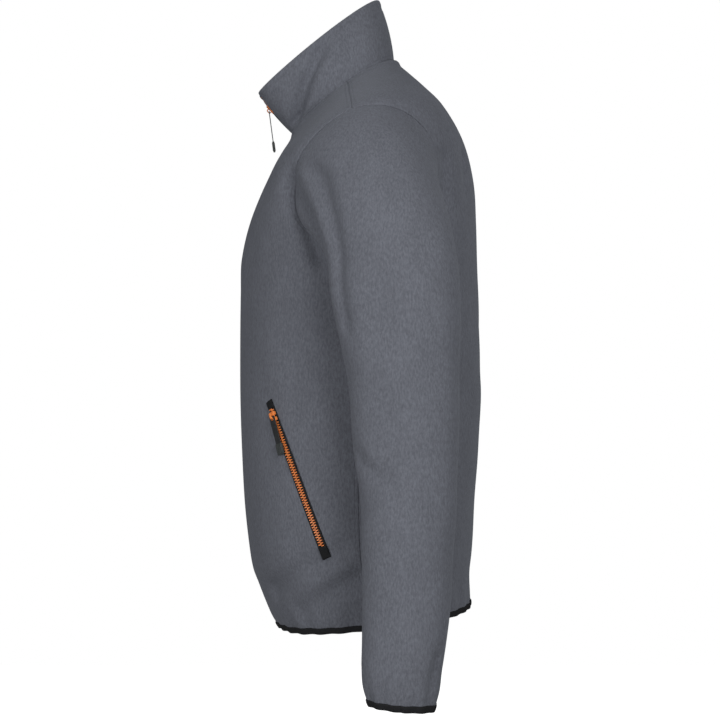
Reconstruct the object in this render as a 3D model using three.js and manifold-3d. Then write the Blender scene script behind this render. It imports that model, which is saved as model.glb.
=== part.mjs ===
import * as THREE from "three";
import { mergeVertices } from "three/addons/utils/BufferGeometryUtils.js";
import Module from "manifold-3d";

// Fleece zip jacket, in mm: +Z up, the front faces -Y, the wearer's left is +X.
// The origin is midway between the two points where the shoulder seams meet the neck seam.

// Cloth thicknesses and gaps between pieces
const FLEECE = 2.4;
const COLLAR_CLOTH = 4.2;
const TAPE = 0.8;
const POCKET_TAPE = 0.6;
const SEAM_HALF = 0.2;
const LIE_GAP = 0.35;
const BINDING_DROP = 1.4;
const BINDING_OUT = 1.2;
const BINDING_GAP = 0.3;

// Front opening
const FRONT_EDGE = 5.6;
const FRONT_EDGE_TOP = 9.6;
const OPEN_FROM = 0.7;
const FRONT_BULGE = -2;
const TROUGH = 8;
const TROUGH_WIDTH = 13;
const NECK_TROUGH = 4;
const NECK_SWING = 12;
const TOP_SWING = 17;
const NEAR_FRONT = [5.6, 11, 18, 28];
const TAPE_COLUMNS = [3.4, 4.8, 11, 18];
const TAPE_FLARE = 4.4;
const FLARE_FROM = 0.28;
const FLARE_FULL = 0.52;
const TAPE_FROM = 0.46;
const TAPE_ROOM = 0.9;
const TAPE_ROOM_COLLAR = 1.4;
const TOOTH_THICK = 3;
const TEETH_APART = 0.15;
const CHAIN_ROWS = [0, 0.2, 0.4, 0.5, 0.7, 0.85, 0.97];
const SLIDER_SPAN = [0.5, 0.7];

// Grid counts
const FRONT_COLUMNS = 10;
const BACK_COLUMNS = 16;
const ARMHOLE_STEPS = 10;
const CAP_STEPS = 6;
const COLLAR_STEPS = 5;

const DEG = Math.PI / 180;

// Torso rings, hem to neck. zF, zS, zB and yF, yS, yB are height and depth at the centre front,
// at the side and at the centre back; w is half the width and n the squareness of the ring.
const TORSO = [
  { zF: -651, zS: -635, zB: -626, yF: -87, yS: 30, yB: 146.5, w: 180, n: 2.25 },
  { zF: -632, zS: -617, zB: -609, yF: -98, yS: 28, yB: 146, w: 184, n: 2.3 },
  { zF: -600, zS: -590, zB: -584, yF: -111, yS: 22, yB: 145.5, w: 189, n: 2.3 },
  { zF: -570, zS: -565, zB: -560, yF: -120.5, yS: 15, yB: 147.5, w: 191, n: 2.3 },
  { zF: -500, zS: -500, zB: -500, yF: -128.5, yS: 12, yB: 152, w: 190, n: 2.3 },
  { zF: -400, zS: -400, zB: -400, yF: -133.5, yS: 12, yB: 158.5, w: 190, n: 2.3 },
  { zF: -300, zS: -300, zB: -300, yF: -134.3, yS: 12, yB: 159.2, w: 194, n: 2.3 },
  { zF: -232, zS: -222, zB: -225, yF: -133.2, yS: 12, yB: 156.5, w: 197, n: 2.3 },
  { zF: -205, zS: -165, zB: -170, yF: -130.5, yS: 11, yB: 153.8, w: 201, n: 2.3 },
  { zF: -170, zS: -110, zB: -115, yF: -123, yS: 9, yB: 150, w: 207, n: 2.3 },
  { zF: -140, zS: -70, zB: -70, yF: -111, yS: 6, yB: 139, w: 209, n: 2.3 },
  { zF: -115, zS: -49, zB: -31, yF: -99.5, yS: 4, yB: 117, w: 204, n: 2.25 },
  { zF: -96, zS: -33, zB: -6, yF: -90, yS: 2, yB: 95, w: 169, n: 2.15 },
  { zF: -80, zS: -18, zB: 14, yF: -81, yS: 0, yB: 75, w: 125, n: 2.05 },
  { zF: -66, zS: -7, zB: 26, yF: -74, yS: -1, yB: 62, w: 92, n: 2 },
  { zF: -58, zS: -4, zB: 33, yF: -72, yS: -2, yB: 54.5, w: 76, n: 2 },
];
const ARMPIT_ROW = 7;
const SHOULDER_ROW = 11;
const NECK_ROW = 15;
const BELOW_ARMHOLE = [0, 0.33, 1, 2, 3, 3.5, 4, 4.33, 4.67, 5, 5.33, 5.67, 6, 6.5];
const ABOVE_ARMHOLE = [11.5, 12, 13, 14, 15];
const ARMHOLE_FRONT = 33 * DEG;
const ARMHOLE_BACK = 40 * DEG;
const ARMHOLE_POINTED = 0.45;

// Rings of the collar's lower and upper edge
const COLLAR = [
  { zF: -58, zS: -4, zB: 33, yF: -72, yS: -2, yB: 54.5, w: 76, n: 2 },
  { zF: -10, zS: 53, zB: 107, yF: -111.5, yS: -33.5, yB: 36, w: 69, n: 2 },
];
const COLLAR_BOW = 3;

// Sleeve rings, bicep to cuff: centre yC, xC, half sizes hy, hx, and the drop toward the back
const SLEEVE = [
  { z: -240, yC: 50, hy: 71.5, xC: 251, hx: 50, drop: 0 },
  { z: -265, yC: 52, hy: 70, xC: 253, hx: 50, drop: 0 },
  { z: -312, yC: 57, hy: 65.5, xC: 256, hx: 48.5, drop: 0 },
  { z: -360, yC: 61, hy: 60.5, xC: 259, hx: 47, drop: 0 },
  { z: -400, yC: 62.5, hy: 58.5, xC: 261.5, hx: 46.5, drop: 0 },
  { z: -437, yC: 63.4, hy: 57, xC: 264, hx: 46, drop: 0 },
  { z: -467, yC: 64.8, hy: 54.2, xC: 266.5, hx: 45, drop: 0 },
  { z: -497, yC: 65.7, hy: 51.6, xC: 269, hx: 44, drop: 0 },
  { z: -542, yC: 64.5, hy: 49.8, xC: 273, hx: 43, drop: 0 },
  { z: -585, yC: 63.3, hy: 48.6, xC: 276, hx: 42, drop: 0 },
  { z: -633, yC: 60.5, hy: 45.3, xC: 280, hx: 41, drop: -1 },
  { z: -664, yC: 58, hy: 43.3, xC: 282, hx: 39, drop: -2 },
  { z: -685, yC: 57.6, hy: 41.4, xC: 283, hx: 36, drop: -2.5 },
  { z: -705, yC: 58, hy: 35.3, xC: 284, hx: 30, drop: -3 },
];
const SLEEVE_ROWS = [1, 2, 3, 4, 5, 6, 7, 8, 9, 10, 11, 12, 12.7, 13];

// Folds in the cloth's own plane: from angle a1 and height z1 to a2 and z2, depth d1 to d2, in
// troughs (below zero) or ridges (above), and the half width
const TORSO_FOLDS = [
  { a1: 55.6, z1: -128, a2: 71, z2: -215, d1: -6, d2: -7, width: 13 },
  { a1: 88, z1: -575, a2: 50, z2: -620, d1: -5, d2: -3, width: 14 },
  { a1: 80, z1: -545, a2: 35, z2: -600, d1: -2, d2: -5, width: 15 },
  { a1: 136, z1: -100, a2: 128, z2: -205, d1: -4, d2: -6, width: 12 },
  { a1: 157, z1: -92, a2: 150, z2: -131, d1: -4, d2: -2, width: 12 },
  { a1: -58, z1: -130, a2: -70, z2: -206, d1: -5, d2: -7, width: 13 },
  { a1: -84, z1: -570, a2: -52, z2: -617, d1: -5, d2: -3, width: 15 },
  { a1: -76, z1: -538, a2: -38, z2: -604, d1: -2, d2: -4, width: 15 },
  { a1: -134, z1: -106, a2: -127, z2: -196, d1: -4, d2: -5, width: 12 },
  { a1: 176, z1: -170, a2: 171, z2: -330, d1: -1, d2: -3, width: 26 },
  { a1: -120, z1: -560, a2: -150, z2: -600, d1: -3, d2: -3, width: 16 },
  { a1: 122, z1: -556, a2: 146, z2: -602, d1: -3, d2: -3, width: 16 },
];
const SLEEVE_FOLDS_LEFT = [
  { a1: 303, z1: -124, a2: 300, z2: -294, d1: -4, d2: -3, width: 12 },
  { a1: 297, z1: -440, a2: 345, z2: -468, d1: -2.5, d2: -1, width: 12 },
  { a1: 205, z1: -425, a2: 258, z2: -458, d1: -1, d2: -3, width: 12 },
  { a1: 176, z1: -262, a2: 212, z2: -330, d1: -2, d2: -3, width: 12 },
  { a1: 56, z1: -652, a2: 46, z2: -694, d1: -2.5, d2: -1, width: 10 },
];
const SLEEVE_FOLDS_RIGHT = [
  { a1: 300, z1: -130, a2: 303, z2: -280, d1: -3.5, d2: -2.5, width: 12 },
  { a1: 290, z1: -452, a2: 340, z2: -486, d1: -2.5, d2: -1, width: 12 },
  { a1: 208, z1: -432, a2: 255, z2: -470, d1: -1, d2: -3, width: 12 },
  { a1: 178, z1: -262, a2: 208, z2: -322, d1: -2, d2: -3, width: 12 },
  { a1: 70, z1: -640, a2: 58, z2: -684, d1: -2, d2: -1, width: 11 },
];
const COLLAR_FOLDS = [
  { a1: 30, z1: 6, a2: 92, z2: 52, d1: -8, d2: -2, width: 10 },
  { a1: -34, z1: 12, a2: -84, z2: 48, d1: -5, d2: -2, width: 11 },
];
const TORSO_RADIUS = 170;
const SLEEVE_RADIUS = 58;
const COLLAR_RADIUS = 75;
const COLLAR_HEIGHT = 68;

// Pocket zip, in the side view: y and z of its upper and lower end, and the slider's place
const POCKET = { yTop: -90.6, zTop: -378, yEnd: -24, zEnd: -556, steps: 12 };
const POCKET_HALF = 5.25;
const POCKET_TOOTH_HALF = 2.9;
const BAR_TOP_LONG = 9;
const BAR_END_LONG = 15;
const SLIDER_FROM_TOP = 19;
const PULL_LEAN = 9 * DEG;

// Materials
const looks = {
  fleece: { color: 0x5c5f68, roughness: 0.95, metalness: 0 },
  binding: { color: 0x1d1e22, roughness: 0.85, metalness: 0 },
  tape: { color: 0x17181b, roughness: 0.8, metalness: 0 },
  teeth: { color: 0xf08c46, roughness: 0.45, metalness: 0 },
  trim: { color: 0x202225, roughness: 0.6, metalness: 0 },
  grip: { color: 0x323737, roughness: 0.7, metalness: 0 },
};

const lib = await Module();
lib.setup();

const at = (x, y, z) => new THREE.Vector3(x, y, z);
const along = (p, d, k) => p.clone().addScaledVector(d, k);
const mix = (a, b, k) => a + (b - a) * k;
const smooth = (x, a, b) => THREE.MathUtils.smoothstep(x, a, b);
const turnOf = (t) => Math.atan2(Math.sin(t), Math.cos(t));

// Value of each named column between the rows of a table
function rowAt(table, v) {
  const i = Math.min(Math.max(Math.floor(v), 0), table.length - 2);
  const k = v - i;
  const before = table[Math.max(i - 1, 0)];
  const from = table[i];
  const to = table[i + 1];
  const after = table[Math.min(i + 2, table.length - 1)];
  const row = {};
  for (const key of Object.keys(from)) {
    const m0 = (to[key] - before[key]) / (i > 0 ? 2 : 1);
    const m1 = (after[key] - from[key]) / (i + 2 < table.length ? 2 : 1);
    const rise = to[key] - from[key];
    const bend = m0 + m1 - 2 * rise;
    row[key] = from[key] + k * (m0 + k * (3 * rise - 2 * m0 - m1 + k * bend));
  }
  return row;
}

// Value at cosine c of a curve given at the front, the side and the back
const around = (f, s, b, c) => s + ((f - b) / 2) * c + ((f + b) / 2 - s) * c * c;

function ringPoint(row, t, bulge = 0) {
  const s = Math.sin(t);
  const c = Math.cos(t);
  const r = (Math.abs(s) ** row.n + Math.abs(c) ** row.n) ** (-1 / row.n);
  const y = around(row.yF - bulge, row.yS, row.yB, c * r);
  return at(row.w * s * r, y, around(row.zF, row.zS, row.zB, c * r));
}

function foldDepth(folds, radius, angle, height) {
  let sum = 0;
  for (const f of folds) {
    const turn = angle - f.a1 * DEG;
    const x = turnOf(turn) * radius;
    const y = height - f.z1;
    const ex = (f.a2 - f.a1) * DEG * radius;
    const ey = f.z2 - f.z1;
    const k = THREE.MathUtils.clamp((x * ex + y * ey) / (ex * ex + ey * ey), 0, 1);
    const gap = (x - k * ex) ** 2 + (y - k * ey) ** 2;
    sum += mix(f.d1, f.d2, k) * Math.exp(-gap / f.width ** 2);
  }
  return sum;
}

// Unit normal of a surface of two parameters, the first kept within its range
function normalAt(surface, a, b, last) {
  const e = 0.004;
  const da = surface(Math.min(a + e, last), b).sub(surface(Math.max(a - e, 0), b));
  const db = surface(a, b + e).sub(surface(a, b - e));
  return db.cross(da).normalize();
}

// The centre front swings to the wearer's left near the neck, where the opening is off centre
const swing = (size, t) => size * Math.exp(-((turnOf(t) / 0.9) ** 2));
const torsoSwing = (v) => NECK_SWING * smooth(v, SHOULDER_ROW - 0.5, NECK_ROW);

// Torso surface: v is the row of the table, t the angle from the centre front
function torsoBase(v, t) {
  const p = ringPoint(rowAt(TORSO, v), t, FRONT_BULGE);
  p.x += swing(torsoSwing(v), t);
  return p;
}

function torso(v, t) {
  const p = torsoBase(v, t);
  const x = p.x - swing(torsoSwing(v), t);
  const front = Math.cos(t) > 0 ? Math.exp(-((x / TROUGH_WIDTH) ** 4)) : 0;
  const trough = mix(TROUGH, NECK_TROUGH, smooth(v, SHOULDER_ROW, NECK_ROW));
  const depth = foldDepth(TORSO_FOLDS, TORSO_RADIUS, t, p.z) - trough * front;
  return along(p, normalAt(torsoBase, v, t, NECK_ROW), depth);
}
const torsoNormal = (v, t) => normalAt(torso, v, t, NECK_ROW);

// Collar surface: h runs from the neck seam to the top edge
function collarBase(h, t) {
  const p = ringPoint(COLLAR[0], t, FRONT_BULGE).lerp(ringPoint(COLLAR[1], t), h);
  const out = at(Math.sin(t), -Math.cos(t), 0);
  p.addScaledVector(out, COLLAR_BOW * 4 * h * (1 - h));
  p.x += swing(mix(NECK_SWING, TOP_SWING, h), t);
  return p;
}

function collar(h, t) {
  const p = collarBase(h, t);
  const trough = NECK_TROUGH * (1 - 0.4 * smooth(h, 0.4, 0.8));
  const front = Math.exp(-(((turnOf(t) * COLLAR_RADIUS) / TROUGH_WIDTH) ** 4));
  const fade = smooth(h, 0, 0.12);
  const fold = foldDepth(COLLAR_FOLDS, COLLAR_RADIUS, t, h * COLLAR_HEIGHT);
  return along(p, normalAt(collarBase, h, t, 1), fold * fade - trough * front);
}
const collarNormal = (h, t) => normalAt(collar, h, t, 1);

// Offset from the outer to the inner side of a wall, where two walls meet at their normals
function mitre(n1, n2) {
  const k = 1 + Math.max(n1.dot(n2), -0.3);
  return n1.clone().add(n2).divideScalar(k);
}

// Armhole: angle a is 0 at the shoulder, 90 degrees at the back, 180 degrees at the armpit
function armholePlace(a, grow = 0) {
  const back = a <= Math.PI;
  const b = back ? Math.PI - a : a - Math.PI;
  const rise = mix((1 - Math.cos(b)) / 2, b / Math.PI, ARMHOLE_POINTED);
  const v = mix(ARMPIT_ROW, SHOULDER_ROW, rise) - (grow / 45) * Math.cos(b);
  const reach = (back ? ARMHOLE_BACK : ARMHOLE_FRONT) + grow / TORSO_RADIUS;
  return { v, t: Math.PI / 2 + (back ? 1 : -1) * reach * Math.sin(b) };
}

function armholePoint(side, a) {
  const { v, t } = armholePlace(a);
  return torso(v, side * t);
}

function sleeveRing(side, row, a) {
  const x = row.xC + row.hx * Math.cos(a);
  const y = row.yC + row.hy * Math.sin(a);
  return at(side * x, y, row.z + row.drop * Math.sin(a));
}

function capStart(side, a) {
  const { v, t } = armholePlace(a);
  const n = torsoNormal(v, side * t);
  const outward = at(side, 0, 0);
  const flat = along(outward, n, -outward.dot(n));
  return flat.multiplyScalar(0.5).add(at(side * 0.5, 0, -0.2)).normalize();
}

// Sleeve surface: q from 0 to 1 is the cap, then the rows of the table
function sleeveBase(side, q, a) {
  if (q >= 1) return sleeveRing(side, rowAt(SLEEVE, q - 1), a);
  const from = armholePoint(side, a);
  const to = sleeveRing(side, SLEEVE[0], a);
  const size = from.distanceTo(to);
  const q2 = q * q;
  const q3 = q2 * q;
  return at(0, 0, 0)
    .addScaledVector(from, 2 * q3 - 3 * q2 + 1)
    .addScaledVector(capStart(side, a), (q3 - 2 * q2 + q) * size)
    .addScaledVector(to, 3 * q2 - 2 * q3)
    .addScaledVector(at(side * 0.08, 0, -1), (q3 - q2) * size * 0.9);
}

function sleeve(side, q, a) {
  const base = (u, b) => sleeveBase(side, u, b);
  const p = base(q, a);
  const folds = side > 0 ? SLEEVE_FOLDS_LEFT : SLEEVE_FOLDS_RIGHT;
  const fade = smooth(q, 0, 0.25);
  const depth = foldDepth(folds, SLEEVE_RADIUS, a, p.z) * fade;
  return along(p, normalAt(base, q, a, SLEEVE.length).multiplyScalar(-side), depth);
}

function sleeveNormal(side, q, a) {
  const surface = (u, b) => sleeve(side, u, b);
  return normalAt(surface, q, a, SLEEVE.length).multiplyScalar(-side);
}

// Mesh of a closed body, its faces turned outward
function solid(name, points, triangles, look) {
  let volume = 0;
  for (const [a, b, c] of triangles)
    volume += points[a].dot(points[b].clone().cross(points[c]));
  const index = triangles.flatMap(([a, b, c]) => (volume < 0 ? [a, c, b] : [a, b, c]));
  const geometry = new THREE.BufferGeometry().setFromPoints(points);
  geometry.setIndex(index);
  geometry.computeVertexNormals();
  const mesh = new THREE.Mesh(geometry, new THREE.MeshStandardMaterial(looks[look]));
  mesh.name = name;
  return mesh;
}

// Wall between an outer and an inner grid of points; ringed closes it along the columns
function wall(name, outer, inner, look, ringed = false) {
  const rows = outer.length;
  const columns = outer[0].length;
  const points = [...outer.flat(), ...inner.flat()];
  const triangles = [];
  const quad = (a, b, c, d) => triangles.push([a, b, c], [a, c, d]);
  const out = (i, j) => i * columns + (j % columns);
  const inn = (i, j) => rows * columns + out(i, j);
  const steps = ringed ? columns : columns - 1;
  for (let i = 0; i < rows - 1; i++) {
    for (let j = 0; j < steps; j++) {
      quad(out(i, j), out(i, j + 1), out(i + 1, j + 1), out(i + 1, j));
      quad(inn(i, j), inn(i + 1, j), inn(i + 1, j + 1), inn(i, j + 1));
    }
    if (ringed) continue;
    quad(out(i, 0), out(i + 1, 0), inn(i + 1, 0), inn(i, 0));
    quad(out(i + 1, steps), out(i, steps), inn(i, steps), inn(i + 1, steps));
  }
  for (let j = 0; j < steps; j++) {
    quad(out(0, j + 1), out(0, j), inn(0, j), inn(0, j + 1));
    quad(out(rows - 1, j), out(rows - 1, j + 1), inn(rows - 1, j + 1), inn(rows - 1, j));
  }
  return solid(name, points, triangles, look);
}

// Bar of one cross-section carried through a list of rings, with caps as lists of quads
function swept(name, rings, caps, look) {
  const size = rings[0].length;
  const points = rings.flat();
  const triangles = [];
  const quad = (a, b, c, d) => triangles.push([a, b, c], [a, c, d]);
  const closed = !caps;
  const steps = closed ? rings.length : rings.length - 1;
  for (let i = 0; i < steps; i++) {
    const next = (i + 1) % rings.length;
    for (let k = 0; k < size; k++) {
      const l = (k + 1) % size;
      quad(i * size + k, i * size + l, next * size + l, next * size + k);
    }
  }
  const last = (rings.length - 1) * size;
  for (const [a, b, c, d] of caps || []) {
    quad(d, c, b, a);
    quad(last + a, last + b, last + c, last + d);
  }
  return solid(name, points, triangles, look);
}

// Rows and columns of the panels
const ARMHOLE_ROWS = [...Array(ARMHOLE_STEPS + 1).keys()].map(
  (i) => Math.PI + (Math.PI * i) / ARMHOLE_STEPS,
);
const frontEdge = (h) => mix(FRONT_EDGE, FRONT_EDGE_TOP, Math.max(h - OPEN_FROM, 0) / (1 - OPEN_FROM));

function frontColumns(width, edge, far) {
  const shift = edge - FRONT_EDGE;
  const near = NEAR_FRONT.map((x) => (x + shift) / width);
  const rest = FRONT_COLUMNS - near.length + 1;
  const start = near[near.length - 1];
  for (let j = 1; j <= rest; j++) near.push(mix(start, far, j / rest));
  return near;
}

// Rows of a panel: v at the middle of the garment, and edge and t where the panel's side edge is
function panelRows(back) {
  const gap = SEAM_HALF / TORSO_RADIUS;
  const seam = Math.PI / 2 + (back ? gap : -gap);
  const rows = BELOW_ARMHOLE.map((v) => ({ v, edge: v, t: seam }));
  ARMHOLE_ROWS.forEach((a, i) => {
    const arm = back ? 2 * Math.PI - a : a;
    const place = armholePlace(arm, SEAM_HALF);
    const t = back ? Math.max(place.t, seam) : Math.min(place.t, seam);
    const v = mix(ARMPIT_ROW, SHOULDER_ROW, i / ARMHOLE_STEPS);
    rows.push({ v, edge: place.v, t, arm });
  });
  for (const v of ABOVE_ARMHOLE) rows.push({ v, edge: v, t: seam });
  const top = rows[rows.length - 1];
  top.v -= 0.02;
  top.edge = top.v;
  top.neck = true;
  return rows;
}

// Inner side of a torso wall at one point
function torsoInner(p, v, t, side, row, edge) {
  const n = torsoNormal(v, t);
  if (row.neck) return along(p, mitre(n, collarNormal(0, t)), -FLEECE);
  if (row.arm === undefined || !edge || !side) return along(p, n, -FLEECE);
  return along(p, mitre(n, sleeveNormal(side, 0, row.arm)), -FLEECE);
}

function panel(name, rows, placesOf, sideOf) {
  const outer = [];
  const inner = [];
  for (const row of rows) {
    const places = placesOf(row);
    const last = places.length - 1;
    const points = places.map(({ v, t }) => torso(v, t));
    outer.push(points);
    inner.push(
      places.map(({ v, t }, j) => torsoInner(points[j], v, t, sideOf(j), row, j === 0 || j === last)),
    );
  }
  return { mesh: wall(name, outer, inner, "fleece"), outer, inner };
}

function frontPanel(name, side) {
  const near = NEAR_FRONT.length - 1;
  const places = (row) => {
    const columns = frontColumns(rowAt(TORSO, row.v).w, FRONT_EDGE, row.t);
    return columns.map((t, j) => {
      const k = Math.max(j - near, 0) / (FRONT_COLUMNS - near);
      return { v: mix(row.v, row.edge, k), t: side * t };
    });
  };
  return panel(name, panelRows(false), places, (j) => (j === 0 ? 0 : side));
}

function backPanel() {
  const places = (row) => {
    const list = [];
    for (let j = 0; j <= BACK_COLUMNS; j++) {
      const k = j / BACK_COLUMNS;
      const v = mix(row.edge, row.v, 1 - Math.abs(2 * k - 1));
      list.push({ v, t: mix(row.t, 2 * Math.PI - row.t, k) });
    }
    return list;
  };
  return panel("back", panelRows(true), places, (j) => (j === 0 ? 1 : -1));
}

// Sleeve: its first ring has the armhole's own points
function sleevePiece(name, side) {
  const outer = [];
  const inner = [];
  const angles = [...Array(2 * ARMHOLE_STEPS).keys()].map((i) => (Math.PI * i) / ARMHOLE_STEPS);
  const rows = [];
  for (let i = 0; i <= CAP_STEPS; i++) rows.push(i / CAP_STEPS);
  for (const r of SLEEVE_ROWS) rows.push(1 + r);
  for (const q of rows) {
    const points = angles.map((a) => sleeve(side, q, a));
    const normals = angles.map((a) => sleeveNormal(side, q, a));
    if (q > 0) {
      outer.push(points);
      inner.push(points.map((p, j) => along(p, normals[j], -FLEECE)));
      continue;
    }
    const moved = points.map((p, j) => along(p, capStart(side, angles[j]), 2 * SEAM_HALF));
    outer.push(moved);
    inner.push(
      moved.map((p, j) => {
        const { v, t } = armholePlace(angles[j]);
        return along(p, mitre(torsoNormal(v, side * t), normals[j]), -FLEECE);
      }),
    );
  }
  return { mesh: wall(name, outer, inner, "fleece", true), outer, inner };
}

function collarColumns(h) {
  const edge = frontEdge(h);
  const width = mix(COLLAR[0].w, COLLAR[1].w, h);
  const left = frontColumns(width, edge, Math.PI / 2);
  const back = [];
  for (let j = 1; j < BACK_COLUMNS; j++) back.push(Math.PI * (0.5 + j / BACK_COLUMNS));
  return [...left, ...back, ...left.map((t) => 2 * Math.PI - t).reverse()];
}

function collarPiece() {
  const outer = [];
  const inner = [];
  for (let i = 0; i <= COLLAR_STEPS; i++) {
    const h = i / COLLAR_STEPS;
    const columns = collarColumns(h);
    const points = columns.map((t) => collar(h, t));
    if (i === 0) points.forEach((p, j) => p.add(collar(0.01, columns[j]).sub(p).setLength(SEAM_HALF)));
    outer.push(points);
    inner.push(
      points.map((p, j) => {
        const n = collarNormal(h, columns[j]);
        const m = i === 0 ? mitre(torsoNormal(NECK_ROW, columns[j]), n) : n;
        return along(p, m, -COLLAR_CLOTH);
      }),
    );
  }
  return wall("collar", outer, inner, "fleece");
}

// Binding folded round an edge: each ring is a U made from the edge's own points
function bindingRing(edge, edgeIn, up, upIn) {
  const n0 = edge.clone().sub(edgeIn).normalize();
  const n1 = up.clone().sub(upIn).normalize();
  const down = edge.clone().sub(up).normalize();
  const foot = (p, n, k, drop) => along(along(p, n, k), down, drop);
  return [
    along(up, n1, BINDING_OUT),
    foot(edge, n0, BINDING_OUT, BINDING_DROP),
    foot(edgeIn, n0, -BINDING_OUT, BINDING_DROP),
    along(upIn, n1, -BINDING_OUT),
    along(upIn, n1, -BINDING_GAP),
    foot(edgeIn, n0, -BINDING_GAP, BINDING_GAP),
    foot(edge, n0, BINDING_GAP, BINDING_GAP),
    along(up, n1, BINDING_GAP),
  ];
}
const BINDING_CAPS = [
  [0, 1, 6, 7],
  [1, 2, 5, 6],
  [2, 3, 4, 5],
];

function hemBinding(panels) {
  const rings = [];
  const [left, back, right] = panels;
  const ring = (piece, j) =>
    bindingRing(piece.outer[0][j], piece.inner[0][j], piece.outer[1][j], piece.inner[1][j]);
  for (let j = 0; j < FRONT_COLUMNS; j++) rings.push(ring(left, j));
  for (let j = 0; j <= BACK_COLUMNS; j++) rings.push(ring(back, j));
  for (let j = FRONT_COLUMNS - 1; j >= 0; j--) rings.push(ring(right, j));
  return swept("hem_binding", rings, BINDING_CAPS, "binding");
}

function cuffBinding(name, piece) {
  const end = piece.outer.length - 1;
  const rings = piece.outer[end].map((p, j) =>
    bindingRing(p, piece.inner[end][j], piece.outer[end - 1][j], piece.inner[end - 1][j]),
  );
  return swept(name, rings, null, "binding");
}

// Centre front zip. Its path goes up the torso, then up the collar.
function zipRows() {
  const rows = [{ v: TAPE_FROM }];
  for (const { v } of panelRows(false)) if (v > TAPE_FROM) rows.push({ v });
  rows.pop();
  for (let i = 0; i <= COLLAR_STEPS; i++) rows.push({ h: i / COLLAR_STEPS });
  rows[rows.length - 1].h = 0.97;
  return rows;
}

function zipPoint(row, x, side, depth) {
  if (row.v !== undefined) {
    const t = (side * x) / rowAt(TORSO, row.v).w;
    return along(torso(row.v, t), normalAt(torsoBase, row.v, t, NECK_ROW), -depth);
  }
  const shift = frontEdge(row.h) - FRONT_EDGE;
  const t = (side * (x + shift)) / mix(COLLAR[0].w, COLLAR[1].w, row.h);
  const n = normalAt(collarBase, row.h, t, 1);
  if (row.h > 0) return along(collar(row.h, t), n, -depth);
  return along(collar(0, t), mitre(normalAt(torsoBase, NECK_ROW, t, NECK_ROW), n), -depth);
}

// Depth of the tape behind the cloth's face, with room for the slopes of the front trough.
// High on the collar its inner edge comes forward between the two edges of the cloth.
function tapeDepth(row, x) {
  if (row.v !== undefined) return FLEECE + TAPE_ROOM + smooth(row.v, NECK_ROW - 3, NECK_ROW - 1);
  const near = smooth(TAPE_COLUMNS[1] - x, 0, TAPE_COLUMNS[1] - TAPE_COLUMNS[0]);
  const flare = TAPE_FLARE * smooth(row.h, FLARE_FROM, FLARE_FULL) * near;
  return COLLAR_CLOTH + TAPE_ROOM_COLLAR - flare;
}

function zipTape(name, side) {
  const rows = zipRows();
  const grid = (extra) =>
    rows.map((row) => TAPE_COLUMNS.map((x) => zipPoint(row, x, side, tapeDepth(row, x) + extra)));
  return wall(name, grid(0), grid(TAPE), "tape");
}

// Middle and axes of the chain at one row; reach is the distance to a tape's edge
function chainFrame(row) {
  const x = TAPE_COLUMNS[0];
  const depth = tapeDepth(row, x) + TAPE / 2;
  const [left, right] = [1, -1].map((side) => zipPoint(row, x, side, depth));
  const [upLeft, upRight] = [1, -1].map((side) => zipPoint(row, x, side, depth - 1));
  const across = left.clone().sub(right);
  const reach = across.length() / 2;
  across.normalize();
  const out = upLeft.sub(left).add(upRight.sub(right));
  out.addScaledVector(across, -out.dot(across)).normalize();
  return { mid: left.add(right).multiplyScalar(0.5), across, out, reach };
}

// The chain's two halves lie in the plane of the tapes
function zipTeeth(name, side) {
  const rows = zipRows().filter((row) => row.v >= 1);
  for (const h of CHAIN_ROWS) rows.push({ h });
  const section = (row) => {
    const { mid, across, out, reach } = chainFrame(row);
    const corner = (x, z) => along(along(mid, across, side * x), out, z);
    const near = TEETH_APART + (row.h === undefined ? 0 : frontEdge(row.h) - FRONT_EDGE);
    const far = reach - 0.4;
    const half = TOOTH_THICK / 2;
    return [corner(far, half), corner(near, half), corner(near, -half), corner(far, -half)];
  };
  return swept(name, rows.map(section), [[0, 1, 2, 3]], "teeth");
}

// Solid for joining and cutting, from a closed three.js geometry
function bulk(geometry) {
  geometry.deleteAttribute("normal");
  geometry.deleteAttribute("uv");
  const merged = mergeVertices(geometry);
  const vertProperties = merged.getAttribute("position").array;
  const triVerts = Uint32Array.from(merged.getIndex().array);
  return new lib.Manifold(new lib.Mesh({ numProp: 3, vertProperties, triVerts }));
}

// Trim is made in its own axes: x across, y along the zip upward, z out
function block(x0, x1, y0, y1, z0, z1) {
  const box = new THREE.BoxGeometry(x1 - x0, y1 - y0, z1 - z0);
  return bulk(box.translate((x0 + x1) / 2, (y0 + y1) / 2, (z0 + z1) / 2));
}

function prism(outline, z0, z1) {
  const shape = new THREE.Shape(outline.map(([x, y]) => new THREE.Vector2(x, y)));
  const geometry = new THREE.ExtrudeGeometry(shape, { depth: z1 - z0, bevelEnabled: false });
  return bulk(geometry.translate(0, 0, z0));
}

function trim(name, body, place, look) {
  const mesh = body.getMesh();
  const points = [];
  for (let i = 0; i < mesh.numVert; i++) {
    const k = i * mesh.numProp;
    const [x, y, z] = mesh.vertProperties.subarray(k, k + 3);
    points.push(at(x, y, z).applyMatrix4(place));
  }
  const triangles = [];
  for (let i = 0; i < mesh.triVerts.length; i += 3)
    triangles.push([...mesh.triVerts.subarray(i, i + 3)]);
  return solid(name, points, triangles, look);
}

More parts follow.
